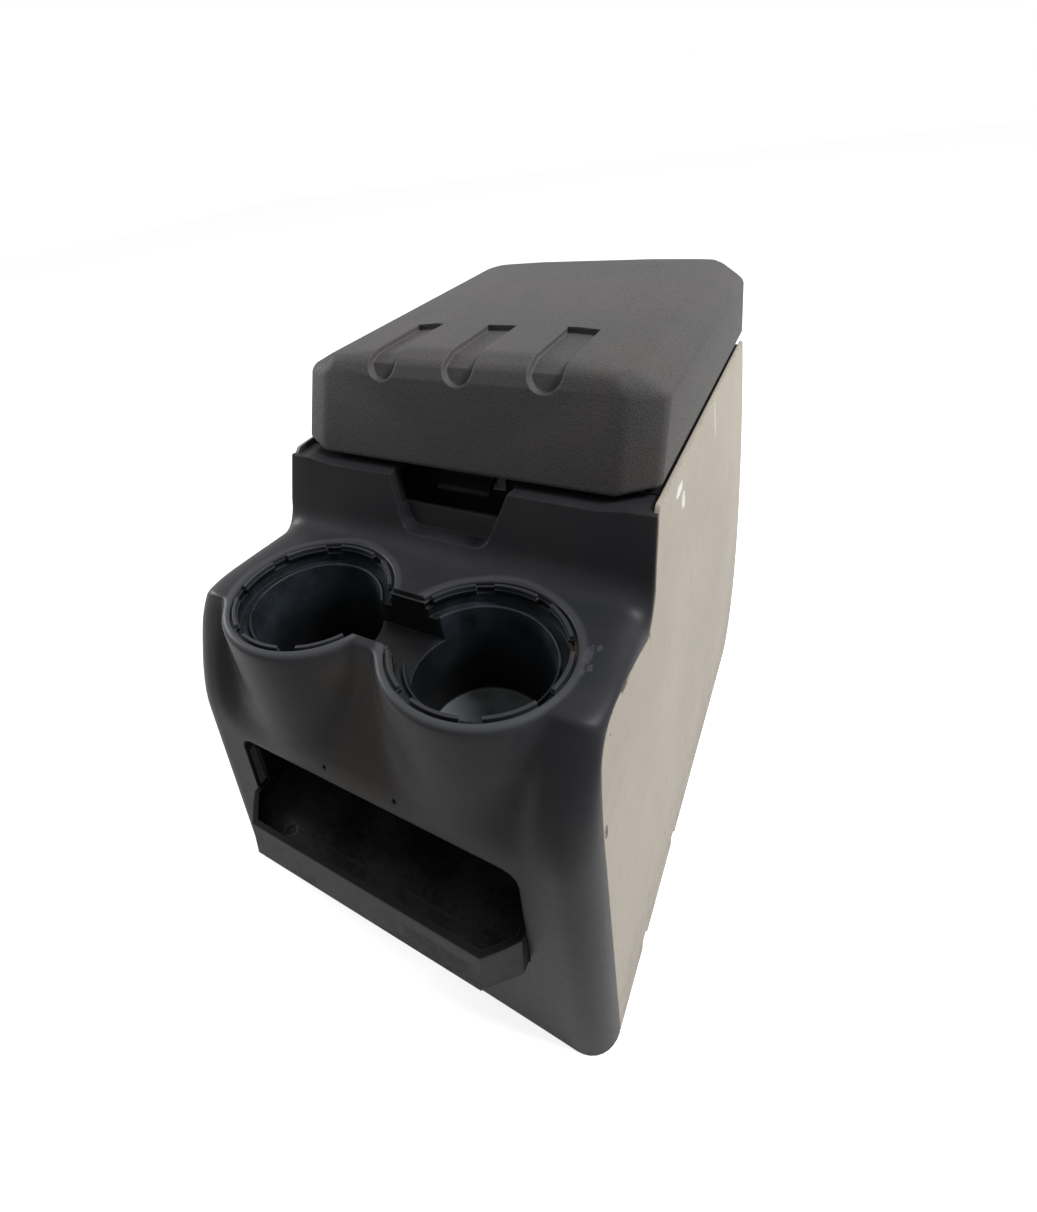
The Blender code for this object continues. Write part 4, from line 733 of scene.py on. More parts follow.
def add_tray_opening(fascia):
    low, high = -OPENING_BOTTOM, -OPENING_TOP
    foot, head = OPENING_BOTTOM_HALF, OPENING_TOP_HALF
    corners = [(-foot, low), (foot, low), (head, high), (-head, high)]
    top_corners = rounded(corners, OPENING_ROUND)[8:]
    front, rear = -TRAY_REACH - SHORT_CUT, -FACE_TOP_Y
    cut(fascia, prism("tray_opening", corners[:2] + top_corners, "Y", front, rear))
    for side, sign in SIDES:
        place = (sign * HOLE_X, -HOLE_DROP)
        cut(fascia, rod(f"small_hole_{side}", HOLE_RADIUS, "Y", front, rear, place, 10))


def add_cup_opening(fascia):
    low = -2 * SKIN - SHORT_CUT
    profile = [(OPENING_RADIUS, low)]
    for i in range(ROUND_STEPS + 1):
        turn = math.pi / 2 * i / ROUND_STEPS
        out = OPENING_LIP_ROUND * (1 - math.cos(turn))
        profile.append((OPENING_RADIUS + out, OPENING_LIP_ROUND * (math.sin(turn) - 1)))
    profile.append((OPENING_RADIUS + OPENING_LIP_ROUND, CUT))
    for side, sign in SIDES:
        cut(fascia, turned(f"cup_opening_{side}", profile, OPENING_SIDES, (sign * CUP_X, 0)))
    corner = (-CUP_X / 2, -CHANNEL_HALF, low)
    cut(fascia, box("channel_opening", corner, (CUP_X / 2, CHANNEL_HALF, CUT)))


def add_deck_bosses(fascia):
    """Bosses under the deck that the cup insert is screwed to."""
    low = -EAR_DROP + FIT
    for number, place in enumerate(EARS, 1):
        fuse(fascia, rod(f"deck_boss_{number}", POST_RADIUS, "Z", low, -SKIN / 2, place, 12))
        hole = (low - CUT, -SKIN - PLAY)
        cut(fascia, rod(f"deck_boss_hole_{number}", SCREW_HOLE, "Z", *hole, place, 12))


def lug_top():
    return -TRAY_FLOOR_DROP - TRAY_FLOOR - FIT


def add_tray_lugs(fascia):
    """Posts behind the lower edge of the opening, which carry the tray floor."""
    top = lug_top()
    low = -OPENING_BOTTOM - LUG_DROP
    for side, sign in SIDES:
        x = sign * LUG_X
        near = (x - LUG_WIDTH / 2, LUG_YS[0], low)
        fuse(fascia, box(f"tray_lug_{side}", near, (x + LUG_WIDTH / 2, LUG_YS[1], top)))
        place = (x, LUG_SCREW_Y)
        bore = (low - CUT, top - LUG_SEAT)
        cut(fascia, rod(f"lug_bore_{side}", HEAD_RADIUS + PLAY, "Z", *bore, place, 16))
        hole = (low, top + SHORT_CUT)
        cut(fascia, rod(f"lug_hole_{side}", SCREW_HOLE, "Z", *hole, place, 12))


def add_fascia_tabs(fascia):
    """Tabs that reach behind the side panels."""
    z = -FASCIA_SCREW_DROP
    low, high = z - TAB_HALF, z + TAB_HALF
    outer = inner_x(z) - BOSS - FIT
    start = swell_y(z, SEAM_SWELL) - TAB_SET
    end = FASCIA_SCREW_Y + TAB_HALF
    for side, sign in SIDES:
        near, far = sorted((sign * (outer - SKIN), sign * outer))
        plate = box(f"fascia_tab_{side}", (near, start, low), (far, end, high))
        root = sorted((sign * (outer - SKIN), sign * (side_x(z) - SKIN / 2)))
        web = box(f"fascia_tab_web_{side}", (root[0], start, low), (root[1], start + SKIN, high))
        fuse(fascia, plate, web)
        span = (near - SHORT_CUT, far + SHORT_CUT)
        cut(fascia, rod(f"fascia_tab_hole_{side}", SCREW_HOLE, "X", *span, (FASCIA_SCREW_Y, z), 12))


def panel_front(gap):
    """Front edge of a side panel in (y, z): clear of the seam, and of the skin behind the riser."""
    path = seam_path()
    foot_z = shoulder_z(RISER_FOOT_Y - RISER_FILLET)
    front = []
    for i, (y, z) in enumerate(path):
        before = Vector(path[max(0, i - 1)])
        after = Vector(path[min(len(path) - 1, i + 1)])
        along = (after - before).normalized()
        share = min(1.0, max(0.0, 1 - z / foot_z)) if y > 0 else 0.0
        clear = gap + SKIN * share
        front.append((y + along.y * clear, z - along.x * clear))
    front[0] = (front[0][0], FLOOR)
    front[-1] = (front[-1][0], PANEL_TOP)
    return front


def trim_beside_panels(fascia):
    """Cut the skin back to an even gap all along the edge of each side panel."""
    front = panel_front(SEAM_GAP / 2)
    low, high = front[0][1] - CUT, front[-1][1] + CUT
    rear = [(TRIM_REAR_Y, high), (TRIM_REAR_Y, low)]
    outline = [(front[0][0], low)] + front + [(front[-1][0], high)] + rear
    for side, sign in SIDES:
        rings = [[(sign * (side_x(z) + depth), y, z) for y, z in outline]
                 for depth in (CUT, -PANEL - FIT)]
        cut(fascia, loft(f"panel_room_{side}", rings))


fascia = add_fascia_skin()
trim_beside_panels(fascia)
fascia.modifiers["panel_room_left"].use_self = True
add_pocket(fascia)
add_deck_bosses(fascia)
add_tray_opening(fascia)
add_tray_lugs(fascia)
add_fascia_tabs(fascia)
add_cup_opening(fascia)
settle(fascia, angle=34)
charcoal = charcoal_plastic()
dress(fascia, charcoal, "console_body", "charcoal_plastic")


# Cup holder insert
# Black moulding of two cups joined by a channel. Its rim lies under the deck, with raised tabs
# between narrow slots that once held a trim ring on each cup; both rings are missing.
RIM_INNER_RADIUS = 0.049
WELL_RADIUS = 0.0505
WELL_DEPTH = 0.014
LIP_RADIUS = 0.0445
LIP_HEIGHT = 0.0023
CUP_RADIUS = 0.043
CUP_FLOOR_RADIUS = 0.0398
CUP_DEPTH = 0.0794
CHANNEL_DEPTH = 0.030
CUP_WALL = 0.002
SLOT_COUNT = 8
SLOT_LENGTH = 0.011
SLOT_DEPTH = 0.0014
SLOT_SEAT = 0.0005
EAR_RADIUS = 0.007
EAR_STEPS = 6
CUP_SIDES = 96
CUP_FOOT_ROUND = 0.003
LIP_EASE = 0.0005
TAB_TOP = -0.0016
TAB_LOW = -0.0036
TAB_RADII = (0.0484, 0.0529)
TAB_SWEEP = math.radians(32)
TAB_STEPS = 14
MIDDLE_CLEAR = 0.0135
BLOCK_FACES = ((3, 2, 1, 0), (4, 5, 6, 7), (0, 1, 5, 4), (1, 2, 6, 5), (2, 3, 7, 6), (3, 0, 4, 7))


def facing(at, axis):
    """How far the surface faces along an axis."""
    return on_axis(at.node("NewGeometry", out="Normal"), axis)


def black_plastic():
    """Deep black moulding with pale dust on the cup walls and floors and a few brown stains."""
    material, at, shader = start_finish("black plastic", specular_ior_level=0.22)
    across, height = on_axis(at, "X"), raised(at)
    clouds, fine = noise(at, 38, 5, 0.62), noise(at, 420, 3)
    soft, edge = rounded_edge(at, 0.0007)
    colour = blend(band(clouds, 0.3, 0.75), tint(10, 11, 12), tint(18, 19, 21))
    walls = band(height, -0.062, -0.018) * band(height, -0.006, -0.012)
    haze = walls * band(clouds + (fine - 0.5) * 0.15, 0.15, 0.85) * band(abs(across), 0.016, 0.026)
    colour = blend(haze * 0.65, colour, tint(58, 67, 76))
    floor = band(height, -0.0775, -0.0788) * band(facing(at, "Z"), 0.7, 0.95)
    floor = floor * band(clouds, 0.1, 0.6)
    colour = blend(floor * (0.5 + band(across, -0.02, 0.02) * 0.4), colour, tint(122, 125, 128))
    ring = band(height, -0.0042, -0.0034)
    colour = blend(ring * 0.75, colour, tint(54, 56, 60))
    stains = spot(at, (0.0644, 0.0456, -0.004), (0.0022, 0.002, 0.004), 0, 0.6)
    colour = blend(stains, colour, tint(131, 112, 60))
    rust = spots(
        at, 0.9, 160, ((0.108, 0.020, -0.006), (0.006, 0.016, 0.008)),
        ((0.0225, -0.0290, -0.006), (0.004, 0.010, 0.008)),
    )
    colour = blend(rust * 0.55, colour, tint(78, 57, 44))
    colour = blend(edge * (0.30 + fine * 0.5), colour, tint(78, 80, 84))
    colour.feeds(shader, "Base Color")
    (0.34 + fine * 0.12 + haze * 0.25 + floor * 0.3).feeds(shader, "Roughness")
    bump(noise(at, 900, 2), 0.00005, soft).feeds(shader, "Normal")
    return material


def insert_body(x):
    """Outside of one cup with its rim."""
    rim = LOBE_RADIUS - SKIN - PLAY
    profile = [
        (CUP_FLOOR_RADIUS + CUP_WALL - CUP_FOOT_ROUND, -CUP_DEPTH - CUP_WALL),
        (CUP_FLOOR_RADIUS + CUP_WALL, -CUP_DEPTH - CUP_WALL + CUP_FOOT_ROUND),
        (CUP_RADIUS + CUP_WALL, -WELL_DEPTH - CUP_WALL),
        (WELL_RADIUS + CUP_WALL, -WELL_DEPTH - CUP_WALL),
        (WELL_RADIUS + CUP_WALL, -2 * SKIN - FIT),
        (rim, -2 * SKIN - FIT),
        (rim, -SKIN - FIT),
    ]
    return turned("cup_body", profile, CUP_SIDES, (x, 0))


def insert_hollow(x):
    """Inside of one cup: rounded foot, wall, the lip that stands up round it, and the well."""
    foot = [(CUP_FLOOR_RADIUS - CUP_FOOT_ROUND, -CUP_DEPTH)]
    for i in range(1, ROUND_STEPS + 1):
        turn = math.pi / 2 * i / ROUND_STEPS
        out = CUP_FLOOR_RADIUS - CUP_FOOT_ROUND * (1 - math.sin(turn))
        foot.append((out, -CUP_DEPTH + CUP_FOOT_ROUND * (1 - math.cos(turn))))
    top = -WELL_DEPTH + LIP_HEIGHT
    profile = foot + [
        (CUP_RADIUS, top - LIP_EASE),
        (CUP_RADIUS + LIP_EASE, top),
        (LIP_RADIUS - LIP_EASE, top),
        (LIP_RADIUS, top - LIP_EASE),
        (LIP_RADIUS, -WELL_DEPTH + LIP_EASE),
        (LIP_RADIUS + LIP_EASE, -WELL_DEPTH),
        (WELL_RADIUS, -WELL_DEPTH),
        (WELL_RADIUS, -2 * SKIN + SLOT_SEAT),
        (RIM_INNER_RADIUS, -2 * SKIN + SLOT_SEAT),
        (RIM_INNER_RADIUS, CUT),
    ]
    return turned("cup_hollow", profile, CUP_SIDES, (x, 0))


def rim_slots(x):
    """Narrow slots around the rim, as one cutter of separate blocks."""
    points = []
    faces = []
    for i in range(SLOT_COUNT):
        turn = 2 * math.pi * (i + 0.5) / SLOT_COUNT
        spin = Matrix.Rotation(turn, 3, "Z")
        first = len(points)
        inner = RIM_INNER_RADIUS - SLOT_DEPTH
        outer = WELL_RADIUS + SLOT_DEPTH
        for z in (-2 * SKIN - SLOT_DEPTH, 0.0):
            for radius, side in ((inner, -1), (outer, -1), (outer, 1), (inner, 1)):
                corner = Vector((radius, side * SLOT_LENGTH / 2, z))
                points.append(spin @ corner + Vector((x, 0, 0)))
        faces += [[first + k for k in quad] for quad in BLOCK_FACES]
    return add_object("rim_slots", points, faces)


def ear(number, place):
    """A plate from the wall of the insert to its screw."""
    beside = place[0] != 0
    start = Vector((math.copysign(CUP_X, place[0]) if beside else 0.0, 0.0))
    along = (Vector(place) - start).normalized()
    across = Vector((-along.y, along.x)) * EAR_RADIUS
    wall = WELL_RADIUS if beside else CHANNEL_HALF - CUP_WALL
    inner = start + along * (wall + CUP_WALL / 2)
    outline = [inner - across, Vector(place) - across]
    angle = math.atan2(along.y, along.x)
    for step in range(1, EAR_STEPS):
        turn = angle - math.pi / 2 + math.pi * step / EAR_STEPS
        outline.append(Vector(place) + EAR_RADIUS * Vector((math.cos(turn), math.sin(turn))))
    outline += [Vector(place) + across, inner + across]
    span = (-EAR_DROP - CUP_WALL, -EAR_DROP)
    return prism(f"ear_{number}", [tuple(point) for point in outline], "Z", *span)


def add_cup_insert():
    insert = insert_body(-CUP_X)
    insert.name = "cup_holder_insert_look"
    fuse(insert, insert_body(CUP_X))
    wide = CHANNEL_HALF - CUP_WALL
    low = (-CUP_X / 2, -wide - CUP_WALL, -CHANNEL_DEPTH - CUP_WALL)
    fuse(insert, box("channel_body", low, (CUP_X / 2, wide + CUP_WALL, -SKIN - FIT)))
    for number, place in enumerate(EARS, 1):
        fuse(insert, ear(number, place))
    cut(insert, insert_hollow(-CUP_X), insert_hollow(CUP_X))
    low = (-CUP_X / 2, -wide, -CHANNEL_DEPTH)
    cut(insert, box("channel_hollow", low, (CUP_X / 2, wide, CUT)))
    cut(insert, rim_slots(-CUP_X), rim_slots(CUP_X))
    for number, place in enumerate(EARS, 1):
        span = (-EAR_DROP - SHORT_CUT, -EAR_DROP + CUP_WALL)
        cut(insert, rod(f"ear_hole_{number}", SCREW_HOLE, "Z", *span, place, 12))
    return insert


def start_tree(title, **kinds):
    """A Geometry Nodes tree: its geometry and its inputs as wires, and each input's identifier."""
    tree = bpy.data.node_groups.new(title, "GeometryNodeTree")
    for way in ("INPUT", "OUTPUT"):
        tree.interface.new_socket("Geometry", in_out=way, socket_type="NodeSocketGeometry")
    names = {}
    for name, kind in kinds.items():
        label = name.replace("_", " ").capitalize()
        made = tree.interface.new_socket(label, in_out="INPUT", socket_type="NodeSocket" + kind)
        names[name] = made.identifier
    inlet = tree.nodes.new("NodeGroupInput").outputs
    wires = {socket.identifier: Wire(tree, socket) for socket in inlet}
    given = {name: wires[identifier] for name, identifier in names.items()}
    return Wire(tree, inlet["Geometry"]), given, names


def end_tree(geometry, skin):
    """Give a tree's mesh its material and send it out."""
    done = geometry.node("GeometryNodeSetMaterial", {"Geometry": geometry, "Material": skin})
    geometry.tree.links.new(done.socket, geometry.tree.nodes.new("NodeGroupOutput").inputs[0])
    return geometry.tree


def run_tree(obj, tree, names, values):
    """Put a tree on an object, set its inputs, and keep the plain mesh that it makes."""
    modifier = obj.modifiers.new(tree.name, "NODES")
    modifier.node_group = tree
    for name, value in values.items():
        modifier[names[name]] = value
    make_plain(obj)


def tab_tree():
    """Raised tabs around both cup rims, none where the channel passes between the cups."""
    _, given, names = start_tree(
        "ring tabs", tabs="Int", radius="Float", sweep="Float", width="Float", rise="Float",
        spacing="Float", clear="Float", skin="Material",
    )
    count, sweep, spacing = given["tabs"], given["sweep"], given["spacing"]
    arc = sweep.node("GeometryNodeCurveArc", {
        "Resolution": TAB_STEPS, "Radius": given["radius"], "Start Angle": sweep * -0.5,
        "Sweep Angle": sweep,
    })
    face = sweep.node("GeometryNodeCurvePrimitiveQuadrilateral", {
        "Width": given["rise"], "Height": given["width"],
    })
    tab = arc.node("GeometryNodeCurveToMesh", {
        "Curve": arc, "Profile Curve": face, "Fill Caps": True,
    })
    points = count.node("GeometryNodeMeshLine", {
        "Count": count, "Offset": (0, 0, 0),
    }, mode="OFFSET")
    turn = count.node("GeometryNodeInputIndex") * (2 * math.pi / count)
    ring = tab.node("GeometryNodeInstanceOnPoints", {
        "Points": points, "Instance": tab, "Rotation": turn.node("CombineXYZ", {"Z": turn}),
    })
    start = spacing * -0.5
    cups = spacing.node("GeometryNodeMeshLine", {
        "Count": 2, "Start Location": start.node("CombineXYZ", {"X": start}),
        "Offset": spacing.node("CombineXYZ", {"X": spacing}),
    }, mode="OFFSET")
    both = ring.node("GeometryNodeInstanceOnPoints", {"Points": cups, "Instance": ring})
    real = both.node("GeometryNodeRealizeInstances", {"Geometry": both})
    across = abs(on_axis(real.node("GeometryNodeInputPosition"), "X"))
    inside = across.node("FunctionNodeCompare", {
        0: across, 1: given["clear"],
    }, operation="LESS_THAN")
    kept = real.node("GeometryNodeDeleteGeometry", {"Geometry": real, "Selection": inside})
    return end_tree(kept, given["skin"]), names


black = black_plastic()
insert = add_cup_insert()
tabs = add_object("rim_tabs", [(0, 0, 0)], [])
ring_tree, ring_names = tab_tree()
run_tree(tabs, ring_tree, ring_names, {
    "tabs": SLOT_COUNT, "radius": sum(TAB_RADII) / 2, "sweep": TAB_SWEEP,
    "width": TAB_RADII[1] - TAB_RADII[0], "rise": TAB_TOP - TAB_LOW,
    "spacing": 2 * CUP_X, "clear": MIDDLE_CLEAR, "skin": black,
})
tabs.data.transform(Matrix.Translation((0, 0, (TAB_TOP + TAB_LOW) / 2)))
settle(insert, angle=34)
settle(tabs, angle=34)
dress(insert, black, "console_body", "black_plastic")
dress(tabs, black, "console_body", "black_plastic", "cup_holder_insert")


# Front tray
# Open tray of the same black plastic that juts out under the cups: a flat front between two
# slanting ends, high sides, and a floor with a small round recess and a fine scored line.
TRAY_LIP_DROP = 0.151
TRAY_WALL = 0.004
TRAY_LEAN = 0.0045
TRAY_FRONT_HALF = 0.089
TRAY_FACET_DEPTH = 0.019
FACET_INSET = 0.4
TRAY_BACK_Y = 0.040
TRAY_SIDE_TOP = 0.114
TRAY_LIP_BACK_Y = -0.054
RECESS_X = -0.068
RECESS_Y = -0.072
RECESS_RADIUS = 0.004
RECESS_DEPTH = 0.001
SCORE_HALF = 0.087
SCORE_Y = -0.0703
SCORE_WIDTH = 0.0008
SCORE_DEPTH = 0.0006


def opening_half(z):
    """Half width of the tray opening at a height."""
    share = (-z - OPENING_TOP) / (OPENING_BOTTOM - OPENING_TOP)
    return OPENING_TOP_HALF + (OPENING_BOTTOM_HALF - OPENING_TOP_HALF) * share


def tray_outline(z, inset, back):
    """Plan of the tray at a height: a flat front between two slanting ends."""
    front = -TRAY_REACH + TRAY_LEAN * (z + OPENING_BOTTOM) / (OPENING_BOTTOM - TRAY_LIP_DROP)
    wide = opening_half(max(z, -OPENING_BOTTOM)) - PLAY
    facet = front + TRAY_FACET_DEPTH
    right = [
        (TRAY_FRONT_HALF - inset * FACET_INSET, front + inset),
        (wide - inset, facet + inset * FACET_INSET),
        (wide - inset, back),
    ]
    return [(x, y, z) for x, y in right] + [(-x, y, z) for x, y in reversed(right)]


def tray_form(name, low, high, inset, back):
    rings = [tray_outline(z, inset, back) for z in (low, high)]
    return loft(name, rings)


def add_tray():
    low = -OPENING_BOTTOM + PLAY
    tray = tray_form("front_tray_look", low, -TRAY_SIDE_TOP, 0.0, TRAY_BACK_Y)
    floor = -TRAY_FLOOR_DROP
    back = TRAY_BACK_Y - TRAY_WALL
    cut(tray, tray_form("tray_hollow", floor, CUT, TRAY_WALL, back))
    under = floor - TRAY_FLOOR
    cut(tray, tray_form("tray_underside", low - SHORT_CUT, under, TRAY_WALL, back))
    far = TRAY_REACH + CUT
    lip = (OPENING_BOTTOM_HALF + CUT, TRAY_LIP_BACK_Y, 0.0)
    cut(tray, box("tray_front_cut", (-lip[0], -far, -TRAY_LIP_DROP), lip))
    place = (RECESS_X, RECESS_Y)
    cut(tray, rod("tray_recess", RECESS_RADIUS, "Z", floor - RECESS_DEPTH, 0.0, place, 32))
    line = (SCORE_HALF, SCORE_Y + SCORE_WIDTH, 0.0)
    cut(tray, box("tray_score", (RECESS_X, SCORE_Y, floor - SCORE_DEPTH), line))
    for side, sign in SIDES:
        place = (sign * LUG_X, LUG_SCREW_Y)
        span = (under - SHORT_CUT, floor - PLAY)
        cut(tray, rod(f"tray_hole_{side}", SCREW_HOLE, "Z", *span, place, 12))
    return tray


def tray_plastic():
    """The tray's black plastic: satin, dusty on its floor, and rubbed grey along its lip."""
    material, at, shader = start_finish("tray plastic", specular_ior_level=0.13)
    height = raised(at)
    clouds, fine = noise(at, 22, 4, 0.6), noise(at, 300, 3)
    soft, edge = rounded_edge(at, 0.0010)
    colour = blend(band(clouds, 0.3, 0.75), tint(19, 19, 20), tint(27, 27, 28))
    dust = band(height, -0.158, -0.1625) * band(clouds + (fine - 0.5) * 0.4, 0.35, 0.7)
    colour = blend(dust * 0.5, colour, tint(60, 59, 58))
    recess = ORIGIN + Vector((RECESS_X, RECESS_Y, -TRAY_FLOOR_DROP))
    near = at.node("VectorMath", {0: at, 1: recess}, out="Value", operation="DISTANCE")
    ring = band(near, RECESS_RADIUS - 0.0008, RECESS_RADIUS)
    ring = ring * band(near, RECESS_RADIUS + 0.0010, RECESS_RADIUS)
    colour = blend(ring * 0.6, colour, tint(104, 103, 102))
    colour = blend(edge * (0.35 + fine * 0.5), colour, tint(88, 87, 87))
    colour.feeds(shader, "Base Color")
    (0.36 + fine * 0.12 + dust * 0.2).feeds(shader, "Roughness")
    bump(noise(at, 1200, 2), 0.00006, soft).feeds(shader, "Normal")
    return material


tray = add_tray()
settle(tray, angle=34, width=0.0009, steps=3)
dress(tray, tray_plastic(), "console_body", "black_plastic")


# Side and rear panels
# Flat panels of beige plastic that lean out towards the floor, with bosses moulded inside and a
# curved rear edge; a third panel closes the rear. Paint flecks, nicks and dirt mark the right one.
PANEL_CHAMFER = 0.0035
BOSS_RADIUS = 0.006
NOTCH_YS = (0.015, 0.096)
NOTCH_WIDTH = 0.012
NOTCH_HEIGHT = 0.006
NOTCH_SLANT = 0.002
REAR_TOP_Y = LID_REACH - 0.032
REAR_BULGE_Y = LID_REACH - 0.001
REAR_FOOT_Y = LID_REACH - 0.082
REAR_HIGH = (0.003, 0.060)
REAR_LOW = (-0.001, 0.030)
REAR_PANEL_SPAN = (0.03, 0.93)
REAR_SCREW_X = 0.080
REAR_SCREW_SHARE = 0.39
BRACKET_YS = (-0.020, LID_REACH - 0.130)
BRACKET_WIDTH = 0.026
TAB_SCREW_RISE = 0.024
TAB_SCREW_Z = TAB_SCREW_RISE - DECK_HEIGHT
LEDGE_WIDTH = 0.014
LEDGE_HEIGHT = 0.008
LEDGE_SET = 0.004
LEDGE_END = 0.006
RIM_TOP = 0.0495
RIM = 0.003
RIM_REAR_Y = LID_REACH - 0.034
BIN_FRONT_Y = 0.128
BIN_REAR_Y = LID_REACH - 0.048
BIN_SCREW_SETS = (0.020, 0.030)
SCREW_LENGTH = 0.009
REAR_STEPS = 40
CURVE_STEP = 0.01


def rear_curve(t):
    """Rear edge of the body from its top to the floor, as (y, z)."""
    top = (REAR_TOP_Y, PANEL_TOP)
    high = (REAR_BULGE_Y - REAR_HIGH[0], -REAR_HIGH[1])
    low = (REAR_BULGE_Y - REAR_LOW[0], FLOOR + REAR_LOW[1])
    return bezier([top, high, low, (REAR_FOOT_Y, FLOOR)], t)


def panel_outline():
    """Side panel in (y, z)."""
    rear = [rear_curve(i / REAR_STEPS) for i in range(REAR_STEPS + 1)]
    foot = []
    for y in sorted(NOTCH_YS, reverse=True):
        half = NOTCH_WIDTH / 2
        foot += [(y + half, FLOOR), (y + half - NOTCH_SLANT, FLOOR + NOTCH_HEIGHT)]
        foot += [(y - half + NOTCH_SLANT, FLOOR + NOTCH_HEIGHT), (y - half, FLOOR)]
    front = panel_front(SEAM_GAP)
    y, z = front.pop()
    corner = [(y, z - PANEL_CHAMFER), (y + PANEL_CHAMFER, z)]
    return front + corner + rear + foot


def panel_bosses():
    """Place of each screw boss inside a side panel, as (y, z)."""
    middle = BRACKET_WIDTH / 2
    places = [(y + middle, TAB_SCREW_Z) for y in BRACKET_YS]
    return places + [(FASCIA_SCREW_Y, -FASCIA_SCREW_DROP)]


def add_side_panel(side, sign):
    outline = panel_outline()
    rings = [[(sign * (side_x(z) - depth), y, z) for y, z in outline] for depth in (0.0, PANEL)]
    panel = loft(f"{side}_side_panel_look", rings)
    for number, place in enumerate(panel_bosses(), 1):
        wall = inner_x(place[1])
        span = sorted((sign * (wall - BOSS), sign * (wall + PANEL / 2)))
        fuse(panel, rod(f"{side}_boss_{number}", BOSS_RADIUS, "X", *span, place, 12))
        span = sorted((sign * (wall - BOSS - SHORT_CUT), sign * (wall - PLAY)))
        cut(panel, rod(f"{side}_boss_hole_{number}", SCREW_HOLE, "X", *span, place, 10))
    add_ledge(panel, side, sign)
    return panel


def ledge_top():
    return RIM_TOP - RIM - FIT


def add_ledge(panel, side, sign):
    """Shelf inside the panel that carries the rim of the bin."""
    top = ledge_top()
    edge = inner_x(top)
    span = sorted((sign * (edge - LEDGE_WIDTH), sign * (edge + PANEL / 2)))
    low = (span[0], RISER_TOP_Y + RISER_FLANGE + LEDGE_SET, top - LEDGE_HEIGHT)
    fuse(panel, box(f"{side}_ledge", low, (span[1], RIM_REAR_Y - LEDGE_END, top)))
    for number, y in enumerate(bin_screw_ys(), 1):
        place = (sign * bin_screw_x(), y)
        span = (top - SCREW_LENGTH, top + CUT)
        cut(panel, rod(f"{side}_ledge_hole_{number}", SCREW_HOLE, "Z", *span, place, 10))


def bin_screw_x():
    return inner_x(ledge_top()) - LEDGE_WIDTH / 2


def bin_screw_ys():
    return (BIN_FRONT_Y + BIN_SCREW_SETS[0], RIM_REAR_Y - BIN_SCREW_SETS[1])


def add_rear_panel(count=32):
    rings = []
    for i in range(count + 1):
        t = REAR_PANEL_SPAN[0] + (REAR_PANEL_SPAN[1] - REAR_PANEL_SPAN[0]) * i / count
        y, z = rear_curve(t)
        along = (Vector(rear_curve(t + CURVE_STEP)) - Vector((y, z))).normalized()
        wide = inner_x(z) - FIT
        back = (y - PLAY, z)
        front = (back[0] + along.y * PANEL, z - along.x * PANEL)
        rings.append([(-wide, *back), (wide, *back), (wide, *front), (-wide, *front)])
    panel = loft("rear_panel_look", rings)
    for side, sign in SIDES:
        place = (sign * REAR_SCREW_X, rear_screw_z())
        span = (BIN_REAR_Y, REAR_BULGE_Y)
        cut(panel, rod(f"rear_hole_{side}", SCREW_HOLE, "Y", *span, place, 12))
    return panel


def rear_screw_z():
    return rear_curve(REAR_SCREW_SHARE)[1]


def beige_plastic():
    """Matt beige moulding with faint mottling, grime at its edges, the marks of its use, and
    painted shade on its inner faces.
    """
    material, at, shader = start_finish("beige plastic", specular_ior_level=0.35)
    height = on_axis(at, "Z")
    clouds, mottle, fine = noise(at, 6, 4, 0.6), noise(at, 90, 4, 0.7), noise(at, 700, 2)
    soft, edge = rounded_edge(at, 0.0012)
    colour = blend(band(clouds, 0.3, 0.7), tint(174, 165, 153), tint(187, 178, 165))
    colour = blend(band(mottle, 0.52, 0.68) * 0.22, colour, tint(150, 140, 128))
    dirt = band(height, 0.05, 0.0) * band(mottle, 0.35, 0.65)
    colour = blend(dirt * 0.4, colour, tint(128, 119, 110))
    colour = blend(edge * band(mottle, 0.35, 0.6) * 0.75, colour, tint(104, 92, 80))
    # Painted shade: the inner faces of the panels are darkened, as they lie in shade inside the
    # body.
    inner_faces_painted_shade = band(on_axis(at, "X") * facing(at, "X"), -0.04, -0.09)
    colour = blend(inner_faces_painted_shade * 0.9, colour, tint(46, 43, 40))

    def mark(y, z, sizes, shade, share=1.0, turn=0.0, ragged=0.6):
        nonlocal colour
        place = (side_x(z), y, z)
        colour = blend(spot(at, place, (0.01, *sizes), turn, ragged) * share, colour, shade)

    mark(0.1307, 0.0369, (0.0100, 0.0040), tint(242, 241, 238), 1.0, 0.1)
    mark(0.1411, 0.0239, (0.0045, 0.0070), tint(240, 239, 235), 1.0)
    mark(0.2443, 0.0323, (0.0026, 0.0190), tint(221, 216, 209), 0.7, 0.2)
    mark(-0.0327, -0.0692, (0.0026, 0.0048), tint(84, 74, 66))
    mark(0.0557, -0.0146, (0.0018, 0.0032), tint(112, 100, 90))
    mark(0.0105, -0.0090, (0.0060, 0.0016), tint(104, 94, 85))
    mark(-0.0108, -0.0065, (0.0012, 0.0012), tint(70, 62, 56))
    mark(-0.0159, -0.0169, (0.0010, 0.0012), tint(76, 68, 60))
    colour.feeds(shader, "Base Color")
    (0.50 + fine * 0.14).feeds(shader, "Roughness")
    bump(fine + mottle * 0.5, 0.00008, soft).feeds(shader, "Normal")
    return material


beige = beige_plastic()
for side, sign in SIDES:
    panel = add_side_panel(side, sign)
    settle(panel, width=0.0007)
    dress(panel, beige, "console_body", "beige_plastic")
rear = add_rear_panel()
settle(rear)
dress(rear, beige, "console_body", "beige_plastic")


